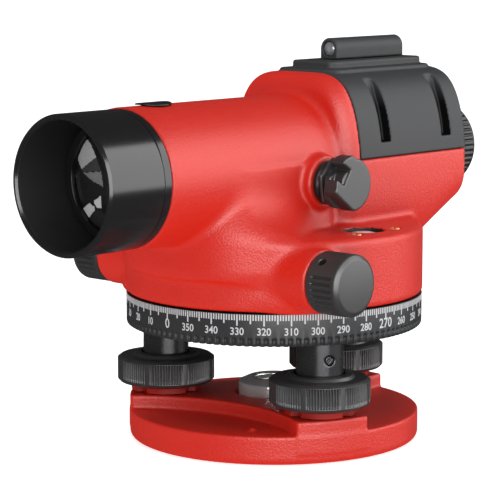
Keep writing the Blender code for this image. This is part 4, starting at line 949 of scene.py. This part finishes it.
# ---- studio, in metres --------------------------------------------------------------------------------
CAMERA_AT = (0.54312, -0.60596, 0.18797)
CAMERA_FORWARD = (-0.6690, 0.7291, -0.1444)
CAMERA_LENS = 159.02                           # millimetres, on a 36 mm wide sensor
FILL, GLOSS_FILL = 0.86, 0.04                  # the studio's brightness, and what glossy surfaces see of it
FLOOR_REACH, FLOOR_GLOW = 8.0, 0.62            # half its width, and its own faint light


def look_at(obj, target):
    """Turns an object's -Z towards a point."""
    direction = Vector(target) - obj.location
    obj.rotation_euler = direction.to_track_quat("-Z", "Y").to_euler()


def add_camera():
    """A long lens, a little above the instrument and to the left of its objective."""
    data = bpy.data.cameras.new("camera")
    data.lens = CAMERA_LENS
    data.sensor_width = 36
    data.clip_end = 50
    camera = bpy.data.objects.new("camera", data)
    bpy.context.scene.collection.objects.link(camera)
    camera.location = CAMERA_AT
    camera.rotation_euler = Vector(CAMERA_FORWARD).to_track_quat("-Z", "Y").to_euler()
    bpy.context.scene.camera = camera


def add_floor():
    """A flat sheet of pale paper, 16 m long, lit evenly from within so that it stays white."""
    mesh = bpy.data.meshes.new("studio_floor")
    corners = [(x * FLOOR_REACH, y * FLOOR_REACH, 0) for x, y in ((-1, -1), (1, -1), (1, 1), (-1, 1))]
    mesh.from_pydata(corners, [], [(0, 1, 2, 3)])
    paper = surface("floor_paper", (0.80, 0.80, 0.80), 0.9, grain=40, vary=0.01, specular=0.1)
    paper.node_tree.nodes["Principled BSDF"].inputs["Emission Color"].default_value = (1, 1, 1, 1)
    paper.node_tree.nodes["Principled BSDF"].inputs["Emission Strength"].default_value = FLOOR_GLOW
    mesh.materials.append(paper)
    obj = bpy.data.objects.new("studio_floor", mesh)
    bpy.context.scene.collection.objects.link(obj)
    obj.visible_glossy = False


def add_light(name, azimuth, elevation, distance, width, height, power, target=(0, 0, 0.08)):
    """A softbox; azimuth is measured at the object from the camera's side, positive to the camera's right."""
    data = bpy.data.lights.new(name, "AREA")
    data.shape = "RECTANGLE"
    data.size, data.size_y = width, height
    data.energy = power
    lamp = bpy.data.objects.new(name, data)
    bpy.context.scene.collection.objects.link(lamp)
    base = math.atan2(CAMERA_AT[1], CAMERA_AT[0]) + math.radians(azimuth)
    flat = distance * math.cos(math.radians(elevation))
    lamp.location = Vector(target) + Vector((flat * math.cos(base), flat * math.sin(base),
                                             distance * math.sin(math.radians(elevation))))
    look_at(lamp, target)
    return lamp


def add_studio():
    """Soft even fill, a white backdrop, and two large dim softboxes that make the broad sheen."""
    world = bpy.data.worlds.new("studio")
    world.use_nodes = True
    tree = world.node_tree
    rays = tree.nodes.new("ShaderNodeLightPath")
    fill = tree.nodes["Background"]
    fill.inputs["Strength"].default_value = FILL
    dim, backdrop = (tree.nodes.new("ShaderNodeBackground") for _ in range(2))
    dim.inputs["Strength"].default_value = GLOSS_FILL
    for shade in (fill, dim, backdrop):
        shade.inputs["Color"].default_value = (1, 1, 1, 1)
    gloss, seen = (tree.nodes.new("ShaderNodeMixShader") for _ in range(2))
    tree.links.new(rays.outputs["Is Glossy Ray"], gloss.inputs[0])
    tree.links.new(fill.outputs[0], gloss.inputs[1])
    tree.links.new(dim.outputs[0], gloss.inputs[2])
    tree.links.new(rays.outputs["Is Camera Ray"], seen.inputs[0])
    tree.links.new(gloss.outputs[0], seen.inputs[1])
    tree.links.new(backdrop.outputs[0], seen.inputs[2])
    tree.links.new(seen.outputs[0], tree.nodes["World Output"].inputs["Surface"])
    world.cycles.sampling_method = "NONE"
    bpy.context.scene.world = world
    bpy.context.scene.view_settings.view_transform = "Standard"
    for sheen in (add_light("sheen_front", 16, 12, 1.4, 1.6, 1.2, 80),
                  add_light("sheen_side", 84, 19, 1.4, 1.8, 1.4, 50)):
        sheen.visible_diffuse = False
    over = add_light("overhead", 0, 78, 1.5, 1.0, 1.0, 5.0)
    over.visible_glossy = False


add_camera()
add_floor()
add_studio()
